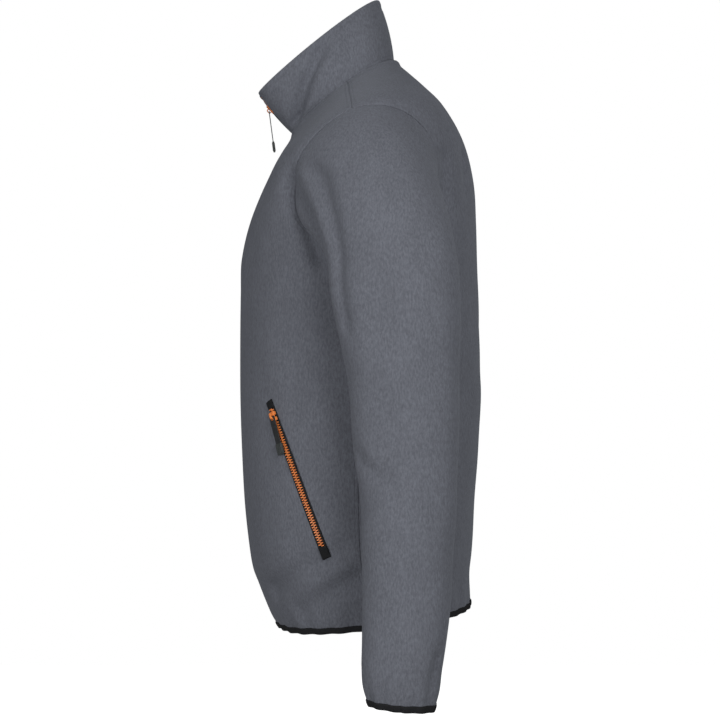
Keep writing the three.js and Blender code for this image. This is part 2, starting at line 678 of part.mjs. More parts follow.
// Slider: a plate with flanges over the teeth and a bridge for the pull
const SLIDER = { half: 4.6, long: 12.5, waist: 3.9, plate: 1.4 };
const BRIDGE = { half: 1.6, long: 5.8, tunnel: 3.4, rise: 2.4, roof: 1 };
function sliderBody(clearHalf, clearUnder) {
  const { half, long, waist, plate } = SLIDER;
  const outline = [
    [-half * 0.86, -long / 2],
    [half * 0.86, -long / 2],
    [waist, -1],
    [half, long / 2 - 4],
    [half * 0.8, long / 2],
    [-half * 0.8, long / 2],
    [-half, long / 2 - 4],
    [-waist, -1],
  ];
  const plates = prism(outline, -clearUnder, plate);
  const channel = block(-clearHalf, clearHalf, -long, long, -clearUnder - 1, 0);
  const bridge = block(
    -BRIDGE.half,
    BRIDGE.half,
    -BRIDGE.long / 2,
    BRIDGE.long / 2,
    plate - 0.2,
    plate + BRIDGE.rise + BRIDGE.roof,
  );
  const tunnel = block(
    -BRIDGE.half - 1,
    BRIDGE.half + 1,
    -BRIDGE.tunnel / 2,
    BRIDGE.tunnel / 2,
    plate,
    plate + BRIDGE.rise,
  );
  return plates.subtract(channel).add(bridge.subtract(tunnel));
}
const PIVOT_RISE = SLIDER.plate + BRIDGE.rise / 2;

// Pull: a bar through the bridge, an eye, a strap and, apart, its grip; y runs down from the pivot
function pullStrap(width, length, thick) {
  const strap = block(-width / 2, width / 2, -0.5, length, -thick / 2, thick / 2);
  const eye = block(-2.1, 2.1, 0.5, 4.3, -thick, thick);
  return strap.subtract(eye);
}

function pullGrip(width, from, to, thick) {
  let grip = block(-width / 2, width / 2, from, to, -thick / 2, thick / 2);
  for (const k of [-1.5, -0.5, 0.5, 1.5])
    grip = grip.add(
      block(k * 2.3 - 0.6, k * 2.3 + 0.6, from + 0.8, to - 0.8, -thick / 2 - 0.4, thick / 2 + 0.4),
    );
  return grip;
}

function frameAt(origin, x, y, z) {
  return new THREE.Matrix4().makeBasis(x, y, z).setPosition(origin);
}

// Strap and grip of one pull; it turns about the x axis of its place
function addPull(group, [strapName, gripName], size, place) {
  const strap = pullStrap(size.strap, size.length, size.thick);
  group.add(trim(strapName, strap, place, "trim"));
  const grip = pullGrip(size.grip, size.length + 0.3, size.gripEnd, size.gripThick);
  group.add(trim(gripName, grip, place, "grip"));
  group.getObjectByName(strapName).userData.hinge = place;
}

const FRONT_PULL = { strap: 6.5, length: 38, thick: 1, grip: 8.5, gripEnd: 50, gripThick: 2.4 };
const POCKET_PULL = { strap: 8.3, length: 33, thick: 1, grip: 10.6, gripEnd: 45, gripThick: 2.4 };
const FRONT_PULL_ANGLE = 7.6 * DEG;

function frontZipTrim(group) {
  const [low, high] = SLIDER_SPAN.map((h) => chainFrame({ h }));
  const up = high.mid.clone().sub(low.mid).normalize();
  const across = low.across.clone().add(high.across);
  across.addScaledVector(up, -up.dot(across)).normalize();
  const out = across.clone().cross(up);
  const centre = low.mid.clone().add(high.mid).multiplyScalar(0.5);
  const top = along(centre, out, TOOTH_THICK / 2 + 0.6);
  const place = frameAt(top, across, up, out);
  group.add(trim("front_slider", sliderBody(3.35, TOOTH_THICK / 2 + 0.6 - 1.1), place, "teeth"));
  const pivot = along(top, out, PIVOT_RISE);
  const down = at(0, Math.sin(FRONT_PULL_ANGLE), -Math.cos(FRONT_PULL_ANGLE));
  const hang = down.addScaledVector(across, -down.dot(across)).normalize();
  const pull = frameAt(pivot, across, hang, across.clone().cross(hang));
  const f = FRONT_PULL;
  addPull(group, ["front_pull_tab", "front_pull_grip"], f, pull);
}

// Place on a front panel that shows at depth y and height z from the side
function panelPlace(side, y, z) {
  let lo = 0;
  let hi = NECK_ROW;
  for (let i = 0; i < 40; i++) {
    const v = (lo + hi) / 2;
    if (torsoBase(v, 1).z < z) lo = v;
    else hi = v;
  }
  const v = lo;
  lo = 0.15;
  hi = 1.5;
  for (let i = 0; i < 40; i++) {
    const t = (lo + hi) / 2;
    if (torso(v, side * t).y < y) lo = t;
    else hi = t;
  }
  return { v, t: side * lo };
}

const POCKET_LONG = Math.hypot(POCKET.yEnd - POCKET.yTop, POCKET.zEnd - POCKET.zTop);
function pocketPoint(side, s, offset, lift) {
  const k = s / POCKET_LONG;
  const place = (u) =>
    panelPlace(side, mix(POCKET.yTop, POCKET.yEnd, u), mix(POCKET.zTop, POCKET.zEnd, u));
  const c = place(k);
  const p = torso(c.v, c.t);
  const far = place(k + 0.02);
  const down = torso(far.v, far.t).sub(p).normalize();
  const n = torsoNormal(c.v, c.t);
  const across = n.clone().cross(down).normalize();
  return along(along(p, across, offset), n, lift);
}

function pocketStrip(name, side, s0, s1, half, lift0, lift1, steps, look) {
  const rings = [];
  for (let i = 0; i <= steps; i++) {
    const s = mix(s0, s1, i / steps);
    rings.push([
      pocketPoint(side, s, -half, lift0),
      pocketPoint(side, s, half, lift0),
      pocketPoint(side, s, half, lift1),
      pocketPoint(side, s, -half, lift1),
    ]);
  }
  return swept(name, rings, [[0, 1, 2, 3]], look);
}

function pocketZip(group, word, side) {
  const under = LIE_GAP;
  const face = under + POCKET_TAPE;
  const teeth = [face + 0.3, face + 1.5];
  const bar = [face + 0.3, face + 1.1];
  const add = (name, s0, s1, half, lifts, steps, look) =>
    group.add(pocketStrip(name + "_" + word, side, s0, s1, half, ...lifts, steps, look));
  add("pocket_tape", 0, POCKET_LONG, POCKET_HALF, [under, face], POCKET.steps, "tape");
  const first = BAR_TOP_LONG + 0.5;
  const last = POCKET_LONG - BAR_END_LONG - 0.5;
  add("pocket_teeth", first, last, POCKET_TOOTH_HALF, teeth, POCKET.steps, "teeth");
  add("pocket_bar_top", 0, BAR_TOP_LONG, POCKET_HALF, bar, 1, "tape");
  add("pocket_bar_bottom", POCKET_LONG - BAR_END_LONG, POCKET_LONG, POCKET_HALF, bar, 1, "tape");
  const centre = pocketPoint(side, SLIDER_FROM_TOP, 0, teeth[1] + 0.35);
  const above = pocketPoint(side, SLIDER_FROM_TOP - 6, 0, teeth[1] + 0.35);
  const below = pocketPoint(side, SLIDER_FROM_TOP + 6, 0, teeth[1] + 0.35);
  const up = above.sub(below).normalize();
  const c = pocketPoint(side, SLIDER_FROM_TOP, 0, 0);
  const face0 = centre.clone().sub(c).normalize();
  const across = up.clone().cross(face0).normalize();
  const out = across.clone().cross(up);
  const slider = sliderBody(POCKET_TOOTH_HALF + 0.35, teeth[1] - teeth[0] + 0.3);
  group.add(trim("pocket_slider_" + word, slider, frameAt(centre, across, up, out), "teeth"));
  const pivot = along(centre, out, PIVOT_RISE);
  const p = POCKET_PULL;
  const lean = up.clone().negate().applyAxisAngle(out, -side * PULL_LEAN);
  const reach = along(along(pivot, lean, p.gripEnd), out, -pivot.distanceTo(c));
  const rest = panelPlace(side, reach.y, reach.z);
  const touch = along(torso(rest.v, rest.t), torsoNormal(rest.v, rest.t), p.gripThick / 2 + 3.6);
  const hang = touch.sub(pivot).normalize();
  const axis = across.clone().applyAxisAngle(out, -side * PULL_LEAN);
  axis.addScaledVector(hang, -axis.dot(hang)).normalize();
  const pull = frameAt(pivot, axis, hang, axis.clone().cross(hang));
  addPull(group, ["pocket_pull_" + word, "pocket_grip_" + word], p, pull);
}

// Box that holds the lower end of the front zip
function zipBox(group) {
  const { mid, across } = chainFrame({ v: 0.62 });
  const up = chainFrame({ v: 0.9 }).mid.sub(chainFrame({ v: 0.35 }).mid);
  up.addScaledVector(across, -up.dot(across)).normalize();
  const place = frameAt(mid, across, up, across.clone().cross(up));
  group.add(trim("zip_box", block(-4.6, 4.6, -5, 4, TAPE / 2 + 0.35, TAPE / 2 + 2.6), place, "tape"));
}

const group = new THREE.Group();
const left = frontPanel("front_left", 1);
const right = frontPanel("front_right", -1);
const back = backPanel();
group.add(left.mesh, right.mesh, back.mesh);
const sleeveLeft = sleevePiece("sleeve_left", 1);
const sleeveRight = sleevePiece("sleeve_right", -1);
group.add(sleeveLeft.mesh, sleeveRight.mesh, collarPiece());
group.add(hemBinding([left, back, right]));
group.add(cuffBinding("cuff_binding_left", sleeveLeft));
group.add(cuffBinding("cuff_binding_right", sleeveRight));
group.add(zipTape("zip_tape_left", 1), zipTape("zip_tape_right", -1));
group.add(zipTeeth("zip_teeth_left", 1), zipTeeth("zip_teeth_right", -1));
zipBox(group);
frontZipTrim(group);
pocketZip(group, "left", 1);
pocketZip(group, "right", -1);

export default group;
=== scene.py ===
import math

import bpy
import numpy as np
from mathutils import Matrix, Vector
from mathutils.kdtree import KDTree


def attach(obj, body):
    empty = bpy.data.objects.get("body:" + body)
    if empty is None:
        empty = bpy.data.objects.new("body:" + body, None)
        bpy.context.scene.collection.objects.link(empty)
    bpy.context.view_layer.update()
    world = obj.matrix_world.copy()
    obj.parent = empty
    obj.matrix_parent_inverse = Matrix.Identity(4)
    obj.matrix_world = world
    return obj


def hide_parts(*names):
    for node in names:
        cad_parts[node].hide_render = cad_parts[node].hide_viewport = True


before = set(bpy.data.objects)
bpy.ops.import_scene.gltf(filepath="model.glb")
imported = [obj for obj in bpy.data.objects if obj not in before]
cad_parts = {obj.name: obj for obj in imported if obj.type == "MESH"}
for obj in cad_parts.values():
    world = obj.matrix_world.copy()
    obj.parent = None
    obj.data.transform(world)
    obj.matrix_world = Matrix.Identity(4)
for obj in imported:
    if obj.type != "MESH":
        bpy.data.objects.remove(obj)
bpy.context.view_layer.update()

# Fleece zip jacket. Lengths are in mm, and points become metres when a mesh is made.
MM = 0.001
DEG = math.pi / 180


def table(columns, rows):
    values = np.array(rows, float)
    return {name: values[:, i] for i, name in enumerate(columns.split())}


# Cloth thicknesses
FLEECE = 2.4
COLLAR_CLOTH = 4.2
TAPE = 0.8
POCKET_TAPE = 0.6
SEAM_HALF = 0.12
LIE_GAP = 0.35

# Front opening
FRONT_EDGE = 5.6
FRONT_EDGE_TOP = 9.6
OPEN_FROM = 0.7
FRONT_BULGE = -2
TROUGH = 8
TROUGH_WIDTH = 13
NECK_TROUGH = 4
NECK_SWING = 12
TOP_SWING = 17
SWING_REACH = 0.9
TAPE_NEAR = 3.4
TAPE_WIDE = 14.6
TAPE_FLARE = 4.4
FLARE_WIDTH = 1.4
FLARE_FROM = 0.28
FLARE_FULL = 0.52
TAPE_FROM = 0.46
TAPE_ROOM = 0.9
TAPE_ROOM_COLLAR = 1.4
TOOTH_THICK = 3
TOOTH_ALONG = 1.36
TEETH_APART = 0.15
SLIDER_SPAN = (0.5, 0.7)

# Torso rings, hem to neck: height z and depth y at the centre front F, side S and centre back B,
# half the width w, and the squareness n of the ring
TORSO = table(
    "zF zS zB yF yS yB w n",
    [
        (-651, -635, -626, -87, 30, 146.5, 180, 2.25),
        (-632, -617, -609, -98, 28, 146, 184, 2.3),
        (-600, -590, -584, -111, 22, 145.5, 189, 2.3),
        (-570, -565, -560, -120.5, 15, 147.5, 191, 2.3),
        (-500, -500, -500, -128.5, 12, 152, 190, 2.3),
        (-400, -400, -400, -133.5, 12, 158.5, 190, 2.3),
        (-300, -300, -300, -134.3, 12, 159.2, 194, 2.3),
        (-232, -222, -225, -133.2, 12, 156.5, 197, 2.3),
        (-205, -165, -170, -130.5, 11, 153.8, 201, 2.3),
        (-170, -110, -115, -123, 9, 150, 207, 2.3),
        (-140, -70, -70, -111, 6, 139, 209, 2.3),
        (-115, -49, -31, -99.5, 4, 117, 204, 2.25),
        (-96, -33, -6, -90, 2, 95, 169, 2.15),
        (-80, -18, 14, -81, 0, 75, 125, 2.05),
        (-66, -7, 26, -74, -1, 62, 92, 2),
        (-58, -4, 33, -72, -2, 54.5, 76, 2),
    ],
)
ARMPIT_ROW = 7
SHOULDER_ROW = 11
NECK_ROW = 15
ARMHOLE_FRONT = 33 * DEG
ARMHOLE_BACK = 40 * DEG
ARMHOLE_POINTED = 0.45
ARMHOLE_ROW_HIGH = 45

# Rings of the collar's lower and upper edge
COLLAR = table(
    "zF zS zB yF yS yB w n",
    [
        (-58, -4, 33, -72, -2, 54.5, 76, 2),
        (-10, 53, 107, -111.5, -33.5, 36, 69, 2),
    ],
)
COLLAR_BOW = 3
COLLAR_WIDTH = (76, 69)

# Sleeve rings, bicep to cuff: height, centre, half sizes and the drop toward the back
SLEEVE = table(
    "z yC hy xC hx drop",
    [
        (-240, 50, 71.5, 251, 50, 0),
        (-265, 52, 70, 253, 50, 0),
        (-312, 57, 65.5, 256, 48.5, 0),
        (-360, 61, 60.5, 259, 47, 0),
        (-400, 62.5, 58.5, 261.5, 46.5, 0),
        (-437, 63.4, 57, 264, 46, 0),
        (-467, 64.8, 54.2, 266.5, 45, 0),
        (-497, 65.7, 51.6, 269, 44, 0),
        (-542, 64.5, 49.8, 273, 43, 0),
        (-585, 63.3, 48.6, 276, 42, 0),
        (-633, 60.5, 45.3, 280, 41, -1),
        (-664, 58, 43.3, 282, 39, -2),
        (-685, 57.6, 41.4, 283, 36, -2.5),
        (-705, 58, 35.3, 284, 30, -3),
    ],
)
SLEEVE_END = 14
CAP_PULL = 0.9

# Folds in the cloth's own plane, from angle a1 and height z1 to a2 and z2, and their depths
FOLD_COLUMNS = "a1 z1 a2 z2 d1 d2 width"
TORSO_FOLDS = table(
    FOLD_COLUMNS,
    [
        (55.6, -128, 71, -215, -9, -11, 12),
        (88, -575, 50, -620, -8, -5, 12),
        (80, -545, 35, -600, -4, -8, 13),
        (136, -100, 128, -205, -7, -9, 11),
        (157, -92, 150, -131, -6, -3, 11),
        (-58, -130, -70, -206, -8, -10, 12),
        (-84, -570, -52, -617, -8, -5, 13),
        (-76, -538, -38, -604, -2, -4, 15),
        (-134, -106, -127, -196, -4, -5, 12),
        (176, -170, 171, -330, -1, -3, 26),
        (-120, -560, -150, -600, -3, -3, 16),
        (122, -556, 146, -602, -3, -3, 16),
    ],
)
SLEEVE_FOLDS = {
    1: table(
        FOLD_COLUMNS,
        [
            (303, -124, 300, -294, -7, -5, 11),
            (297, -440, 345, -468, -4, -2, 12),
            (205, -425, 258, -458, -1, -3, 12),
            (176, -262, 212, -330, -2, -3, 12),
            (56, -652, 46, -694, -4, -2, 10),
        ],
    ),
    -1: table(
        FOLD_COLUMNS,
        [
            (300, -130, 303, -280, -6, -5, 11),
            (290, -452, 340, -486, -2.5, -1, 12),
            (208, -432, 255, -470, -1, -3, 12),
            (178, -262, 208, -322, -2, -3, 12),
            (70, -640, 58, -684, -2, -1, 11),
        ],
    ),
}
COLLAR_FOLDS = table(
    FOLD_COLUMNS,
    [
        (28, 2, 84, 52, -13, -7, 8),
        (48, 2, 100, 50, 4, 2, 9),
        (-34, 12, -84, 48, -5, -2, 11),
    ],
)
TORSO_RADIUS = 170
SLEEVE_RADIUS = 58
COLLAR_RADIUS = 75
COLLAR_HEIGHT = 68

# Pocket zip, in the side view: y and z of its upper and lower end
POCKET = {"yTop": -90.6, "zTop": -378, "yEnd": -24, "zEnd": -556}
POCKET_LONG = math.hypot(POCKET["yEnd"] - POCKET["yTop"], POCKET["zEnd"] - POCKET["zTop"])
POCKET_HALF = 5.25
POCKET_TOOTH_HALF = 2.9
BAR_TOP_LONG = 9
BAR_END_LONG = 15
SLIDER_FROM_TOP = 19
PULL_LEAN = 9 * DEG

# Slider, its bridge and the pulls
SLIDER_HALF = 4.6
SLIDER_LONG = 12.5
SLIDER_PLATE = 1.4
BRIDGE_HALF = 1.6
BRIDGE_RISE = 2.4
BRIDGE_ROOF = 1
PIVOT_RISE = SLIDER_PLATE + BRIDGE_RISE / 2
FRONT_PULL = {"strap": 6.5, "length": 38, "thick": 1, "grip": 8.5, "end": 50, "grip_thick": 2.4}
POCKET_PULL = {"strap": 8.3, "length": 33, "thick": 1, "grip": 10.6, "end": 45, "grip_thick": 2.4}
FRONT_PULL_ANGLE = 7.6 * DEG

# Fine detail: grid steps, seams, sewing and zip pitch
CLOTH_STEP = 3.4
FRONT_GRID_WIDE = 272
BACK_GRID_WIDE = 600
EDGE_STEPS = (0, 0.45, 1, 1.8, 3)
ARMHOLE_STEPS = 60
SEAM_DIP = 0.5
SEAM_DIP_HALF = 0.9
MITRE_REACH = 5
FAR = 99.0
TWIN_LINE = 4.5
THREAD_STEP = 0.8
RIDGE = 2.4
GATHER_WAVE = 34
GATHER_DEPTH = 0.9
STITCH_PITCH = 3.2
STITCH_LONG = 2.3
TOOTH_PITCH = 3
COLLAR_STITCH_DOWN = 9
COLLAR_GROOVE = 1.1
PATH_STEPS = 12


# Small maths helpers
def vec(x, y, z):
    return np.stack(np.broadcast_arrays(x, y, z), -1).astype(float)


def unit(v):
    return v / np.linalg.norm(v, axis=-1, keepdims=True)


def dot(a, b):
    return np.sum(a * b, -1, keepdims=True)


def mix(a, b, k):
    return a + (b - a) * k


def smooth(x, a, b):
    k = np.clip((x - a) / (b - a), 0, 1)
    return k * k * (3 - 2 * k)


def turn_of(t):
    return np.arctan2(np.sin(t), np.cos(t))


def hermite(k, start, end, m0, m1):
    """Smooth value between start and end, with slopes m0 and m1 there."""
    rise = end - start
    return start + k * (m0 + k * (3 * rise - 2 * m0 - m1 + k * (m0 + m1 - 2 * rise)))


def row_of(rows, i):
    return {name: column[i] for name, column in rows.items()}


def row_at(rows, v):
    """Value of each named column between the rows of a table."""
    v = np.asarray(v, float)
    size = len(next(iter(rows.values())))
    i = np.clip(np.floor(v).astype(int), 0, size - 2)
    result = {}
    for name, column in rows.items():
        start = column[i]
        end = column[i + 1]
        m0 = (end - column[np.maximum(i - 1, 0)]) / np.where(i > 0, 2, 1)
        m1 = (column[np.minimum(i + 2, size - 1)] - start) / np.where(i + 2 < size, 2, 1)
        result[name] = hermite(v - i, start, end, m0, m1)
    return result


def around(f, s, b, c):
    return s + ((f - b) / 2) * c + ((f + b) / 2 - s) * c * c


def ring_point(row, t, bulge=0):
    s = np.sin(t)
    c = np.cos(t)
    r = (np.abs(s) ** row["n"] + np.abs(c) ** row["n"]) ** (-1 / row["n"])
    y = around(row["yF"] - bulge, row["yS"], row["yB"], c * r)
    return vec(row["w"] * s * r, y, around(row["zF"], row["zS"], row["zB"], c * r))


def fold_depth(folds, radius, angle, height):
    total = 0
    for i in range(len(folds["a1"])):
        f = row_of(folds, i)
        x = turn_of(angle - f["a1"] * DEG) * radius
        y = height - f["z1"]
        ex = (f["a2"] - f["a1"]) * DEG * radius
        ey = f["z2"] - f["z1"]
        k = np.clip((x * ex + y * ey) / (ex * ex + ey * ey), 0, 1)
        gap = (x - k * ex) ** 2 + (y - k * ey) ** 2
        total = total + mix(f["d1"], f["d2"], k) * np.exp(-gap / f["width"] ** 2)
    return total


def normal_at(surface, a, b, last):
    """Unit normal of a surface of two parameters, the first kept within its range."""
    e = 0.004
    da = surface(np.minimum(a + e, last), b) - surface(np.maximum(a - e, 0), b)
    db = surface(a, b + e) - surface(a, b - e)
    return unit(np.cross(db, da))


def swing(size, t):
    """How far the open front and collar hang over to the wearer's left."""
    return size * np.exp(-((turn_of(t) / SWING_REACH) ** 2))


def torso_swing(v):
    return NECK_SWING * smooth(v, SHOULDER_ROW - 0.5, NECK_ROW)


# Torso surface: v is the row of the table, t the angle from the centre front
def torso_base(v, t):
    return ring_point(row_at(TORSO, v), t, FRONT_BULGE) + vec(swing(torso_swing(v), t), 0, 0)


def torso(v, t):
    p = torso_base(v, t)
    x = p[..., 0] - swing(torso_swing(v), t)
    front = np.where(np.cos(t) > 0, np.exp(-((x / TROUGH_WIDTH) ** 4)), 0)
    trough = mix(TROUGH, NECK_TROUGH, smooth(v, SHOULDER_ROW, NECK_ROW))
    depth = fold_depth(TORSO_FOLDS, TORSO_RADIUS, t, p[..., 2]) - trough * front
    return p + normal_at(torso_base, v, t, NECK_ROW) * depth[..., None]


def torso_normal(v, t):
    return normal_at(torso, v, t, NECK_ROW)


# Collar surface: h runs from the neck seam to the top edge
def collar_base(h, t):
    h = np.asarray(h, float)
    k = h[..., None]
    p = mix(ring_point(row_of(COLLAR, 0), t, FRONT_BULGE), ring_point(row_of(COLLAR, 1), t), k)
    p = p + vec(np.sin(t), -np.cos(t), 0 * t) * (COLLAR_BOW * 4 * k * (1 - k))
    return p + vec(swing(mix(NECK_SWING, TOP_SWING, h), t), 0, 0)


def collar(h, t):
    h = np.asarray(h, float)
    trough = NECK_TROUGH * (1 - 0.4 * smooth(h, 0.4, 0.8))
    front = np.exp(-((turn_of(t) * COLLAR_RADIUS / TROUGH_WIDTH) ** 4))
    fold = fold_depth(COLLAR_FOLDS, COLLAR_RADIUS, t, h * COLLAR_HEIGHT) * smooth(h, 0, 0.12)
    depth = fold - trough * front
    return collar_base(h, t) + normal_at(collar_base, h, t, 1) * depth[..., None]


def collar_normal(h, t):
    return normal_at(collar, h, t, 1)


def front_edge(h):
    return mix(FRONT_EDGE, FRONT_EDGE_TOP, np.maximum(h - OPEN_FROM, 0) / (1 - OPEN_FROM))


def mitre(n1, n2):
    """Offset from the outer to the inner side of a wall where two walls meet."""
    return (n1 + n2) / (1 + np.maximum(dot(n1, n2), -0.3))


# Armhole: angle a is 0 at the shoulder, 90 degrees at the back, 180 degrees at the armpit
def armhole_place(a, grow=0):
    back = a <= math.pi
    b = np.where(back, math.pi - a, a - math.pi)
    rise = mix((1 - np.cos(b)) / 2, b / math.pi, ARMHOLE_POINTED)
    v = mix(ARMPIT_ROW, SHOULDER_ROW, rise) - (grow / ARMHOLE_ROW_HIGH) * np.cos(b)
    reach = np.where(back, ARMHOLE_BACK, ARMHOLE_FRONT) + grow / TORSO_RADIUS
    return v, math.pi / 2 + np.where(back, 1, -1) * reach * np.sin(b)


def sleeve_ring(side, row, a):
    x = row["xC"] + row["hx"] * np.cos(a)
    y = row["yC"] + row["hy"] * np.sin(a)
    return vec(side * x, y, row["z"] + row["drop"] * np.sin(a))


def cap_start(side, a):
    v, t = armhole_place(a)
    n = torso_normal(v, side * t)
    outward = vec(side, 0, 0)
    flat = outward - n * dot(outward, n)
    return unit(flat * 0.5 + vec(side * 0.5, 0, -0.2))


def sleeve_base(side, q, a):
    """Sleeve surface: q from 0 to 1 is the cap, then the rows of the table."""
    q, a = np.broadcast_arrays(np.asarray(q, float), a)
    lower = sleeve_ring(side, row_at(SLEEVE, q - 1), a)
    v, t = armhole_place(a)
    start = torso(v, side * t)
    end = sleeve_ring(side, row_of(SLEEVE, 0), a)
    size = np.linalg.norm(end - start, axis=-1, keepdims=True)
    k = q[..., None]
    k2 = k * k
    k3 = k2 * k
    cap = start * (2 * k3 - 3 * k2 + 1) + cap_start(side, a) * (k3 - 2 * k2 + k) * size
    cap = cap + end * (3 * k2 - 2 * k3) + vec(side * 0.08, 0, -1) * (k3 - k2) * size * CAP_PULL
    return np.where(k < 1, cap, lower)


def sleeve(side, q, a):
    def base(u, b):
        return sleeve_base(side, u, b)

    p = base(q, a)
    depth = fold_depth(SLEEVE_FOLDS[side], SLEEVE_RADIUS, a, p[..., 2]) * smooth(q, 0, 0.25)
    return p + normal_at(base, q, a, SLEEVE_END) * (-side * depth[..., None])


def sleeve_normal(side, q, a):
    return -side * normal_at(lambda u, b: sleeve(side, u, b), q, a, SLEEVE_END)


# Meshes
def add_object(name, data):
    obj = bpy.data.objects.new(name, data)
    bpy.context.scene.collection.objects.link(obj)
    return obj


def mesh_object(name, points, faces, material, floats=None, crease=50):
    mesh = bpy.data.meshes.new(name)
    mesh.from_pydata((np.asarray(points) * MM).tolist(), [], faces)
    mesh.validate()
    mesh.update()
    for key, values in (floats or {}).items():
        layer = mesh.attributes.new(key, "FLOAT", "POINT")
        layer.data.foreach_set("value", np.asarray(values, np.float32).ravel())
    mesh.materials.append(material)
    mesh.shade_smooth()
    if crease:
        mesh.set_sharp_from_angle(angle=crease * DEG)
    return add_object(name, mesh)


def shell_faces(rows, columns, ringed):
    """Faces of a wall between an outer and an inner grid."""
    index = np.arange(rows * columns).reshape(rows, columns)
    if ringed:
        index = np.concatenate([index, index[:, :1]], 1)
    inner = index + rows * columns

    def quads(grid):
        return np.stack([grid[:-1, :-1], grid[:-1, 1:], grid[1:, 1:], grid[1:, :-1]], -1).reshape(-1, 4)

    def rim(a, b):
        return np.stack([a[1:], a[:-1], b[:-1], b[1:]], -1)

    faces = [quads(index), quads(inner)[:, ::-1]]
    faces += [rim(index[0], inner[0]), rim(inner[-1], index[-1])]
    if not ringed:
        faces += [rim(inner[:, 0], index[:, 0]), rim(index[:, -1], inner[:, -1])]
    return np.concatenate(faces)


def shell(name, outer, inner, material, floats=None, ringed=False):
    rows, columns = outer.shape[:2]
    points = np.concatenate([outer.reshape(-1, 3), inner.reshape(-1, 3)])
    faces = shell_faces(rows, columns, ringed)
    a, b, c, d = (points[faces[:, i]] for i in range(4))
    volume = np.sum(a * np.cross(b, c)) + np.sum(a * np.cross(c, d))
    if volume < 0:
        faces = faces[:, ::-1]
    both = {key: np.tile(np.ravel(values), 2) for key, values in (floats or {}).items()}
    return mesh_object(name, points, faces.tolist(), material, both, crease=70)


def joined(name, parts, material, crease=40):
    """One object from several lists of points and faces."""
    points = []
    faces = []
    start = 0
    for some, polygons in parts:
        points.append(some)
        faces += [[start + i for i in face] for face in polygons]
        start += len(some)
    return mesh_object(name, np.concatenate(points), faces, material, crease=crease)


def scattered(name, template, origins, axes, material):
    """One object with a copy of the template at each origin; axes holds three vectors for each."""
    points, faces = template
    size = len(points)
    ex, ey, ez = axes
    placed = origins[:, None, :] + ex[:, None, :] * points[None, :, :1]
    placed = placed + ey[:, None, :] * points[None, :, 1:2] + ez[:, None, :] * points[None, :, 2:]
    every = [[i + k * size for i in face] for k in range(len(origins)) for face in faces]
    return mesh_object(name, placed.reshape(-1, 3), every, material, crease=40)


def along_path(points):
    """Distance travelled along a path of points."""
    steps = np.linalg.norm(np.diff(points, axis=0), axis=-1)
    return np.concatenate([[0], np.cumsum(steps)])


def resample(grid, s, places):
    """Rows of a grid, given at distances s, read at other places along it."""
    flat = grid.reshape(len(grid), -1)
    columns = [np.interp(places, s, flat[:, i]) for i in range(flat.shape[1])]
    return np.stack(columns, -1).reshape(len(places), *grid.shape[1:])


def rounded_rows(grid):
    """Curved path through the rows of a grid, with PATH_STEPS steps between two rows."""
    last = len(grid) - 1
    place = np.linspace(0, last, last * PATH_STEPS + 1)
    i = np.minimum(place.astype(int), last - 1)
    k = (place - i).reshape(-1, *[1] * (grid.ndim - 1))
    start = grid[i]
    end = grid[i + 1]
    m0 = (end - grid[np.maximum(i - 1, 0)]) / 2
    m1 = (grid[np.minimum(i + 2, last)] - start) / 2
    return hermite(k, start, end, m0, m1)


def rows_between(surface, t, low, high, ends=(True, True)):
    """Row values between low and high, about CLOTH_STEP apart along the surface at angle t."""
    dense = np.linspace(low, high, 600)
    s = along_path(surface(dense, np.full(600, t)))
    first = EDGE_STEPS if ends[0] else (0,)
    last = EDGE_STEPS if ends[1] else (0,)
    middle = np.linspace(first[-1], s[-1] - last[-1], int(s[-1] / CLOTH_STEP))
    places = np.concatenate([first[:-1], middle, s[-1] - np.array(last[:-1])[::-1]])
    return np.interp(places, s, dense)


def seam_distance(points, paths):
    """Distance of each point of a grid to the nearest of the seam paths."""
    dense = []
    for path in paths:
        s = along_path(path)
        dense.append(resample(path, s, np.linspace(0, s[-1], int(s[-1]) + 2)))
    samples = np.concatenate(dense)
    tree = KDTree(len(samples))
    for i, p in enumerate(samples):
        tree.insert(Vector(p), i)
    tree.balance()
    flat = points.reshape(-1, 3)
    found = np.array([tree.find(Vector(p))[2] for p in flat])
    return found.reshape(points.shape[:-1])


def ripple(p):
    """Soft unevenness of the cloth, in mm."""
    x, y, z = (p[..., i] for i in range(3))
    long = np.sin(z / 31 + 2.1 * np.sin(x / 67) + y / 53) * np.sin(x / 41 + y / 37 + 1.3 * np.sin(z / 59))
    return 0.7 * long + 0.25 * np.sin(z / 17 + x / 23 + y / 19)


def gathers(around_mm, above, shift=0):
    """Shallow waves where elastic holds an edge in."""
    wave = np.sin(around_mm * 2 * math.pi / GATHER_WAVE + 0.9 * np.sin(around_mm / 71 + shift))
    return GATHER_DEPTH * wave * np.exp(-((above / 30) ** 2))


def rounded_half(distance, half):
    """Half thickness of a wall at a distance from its rounded free edge."""
    k = np.clip(1 - distance / half, 0, 1)
    return half * np.sqrt(np.maximum(1 - k * k, 0.02))


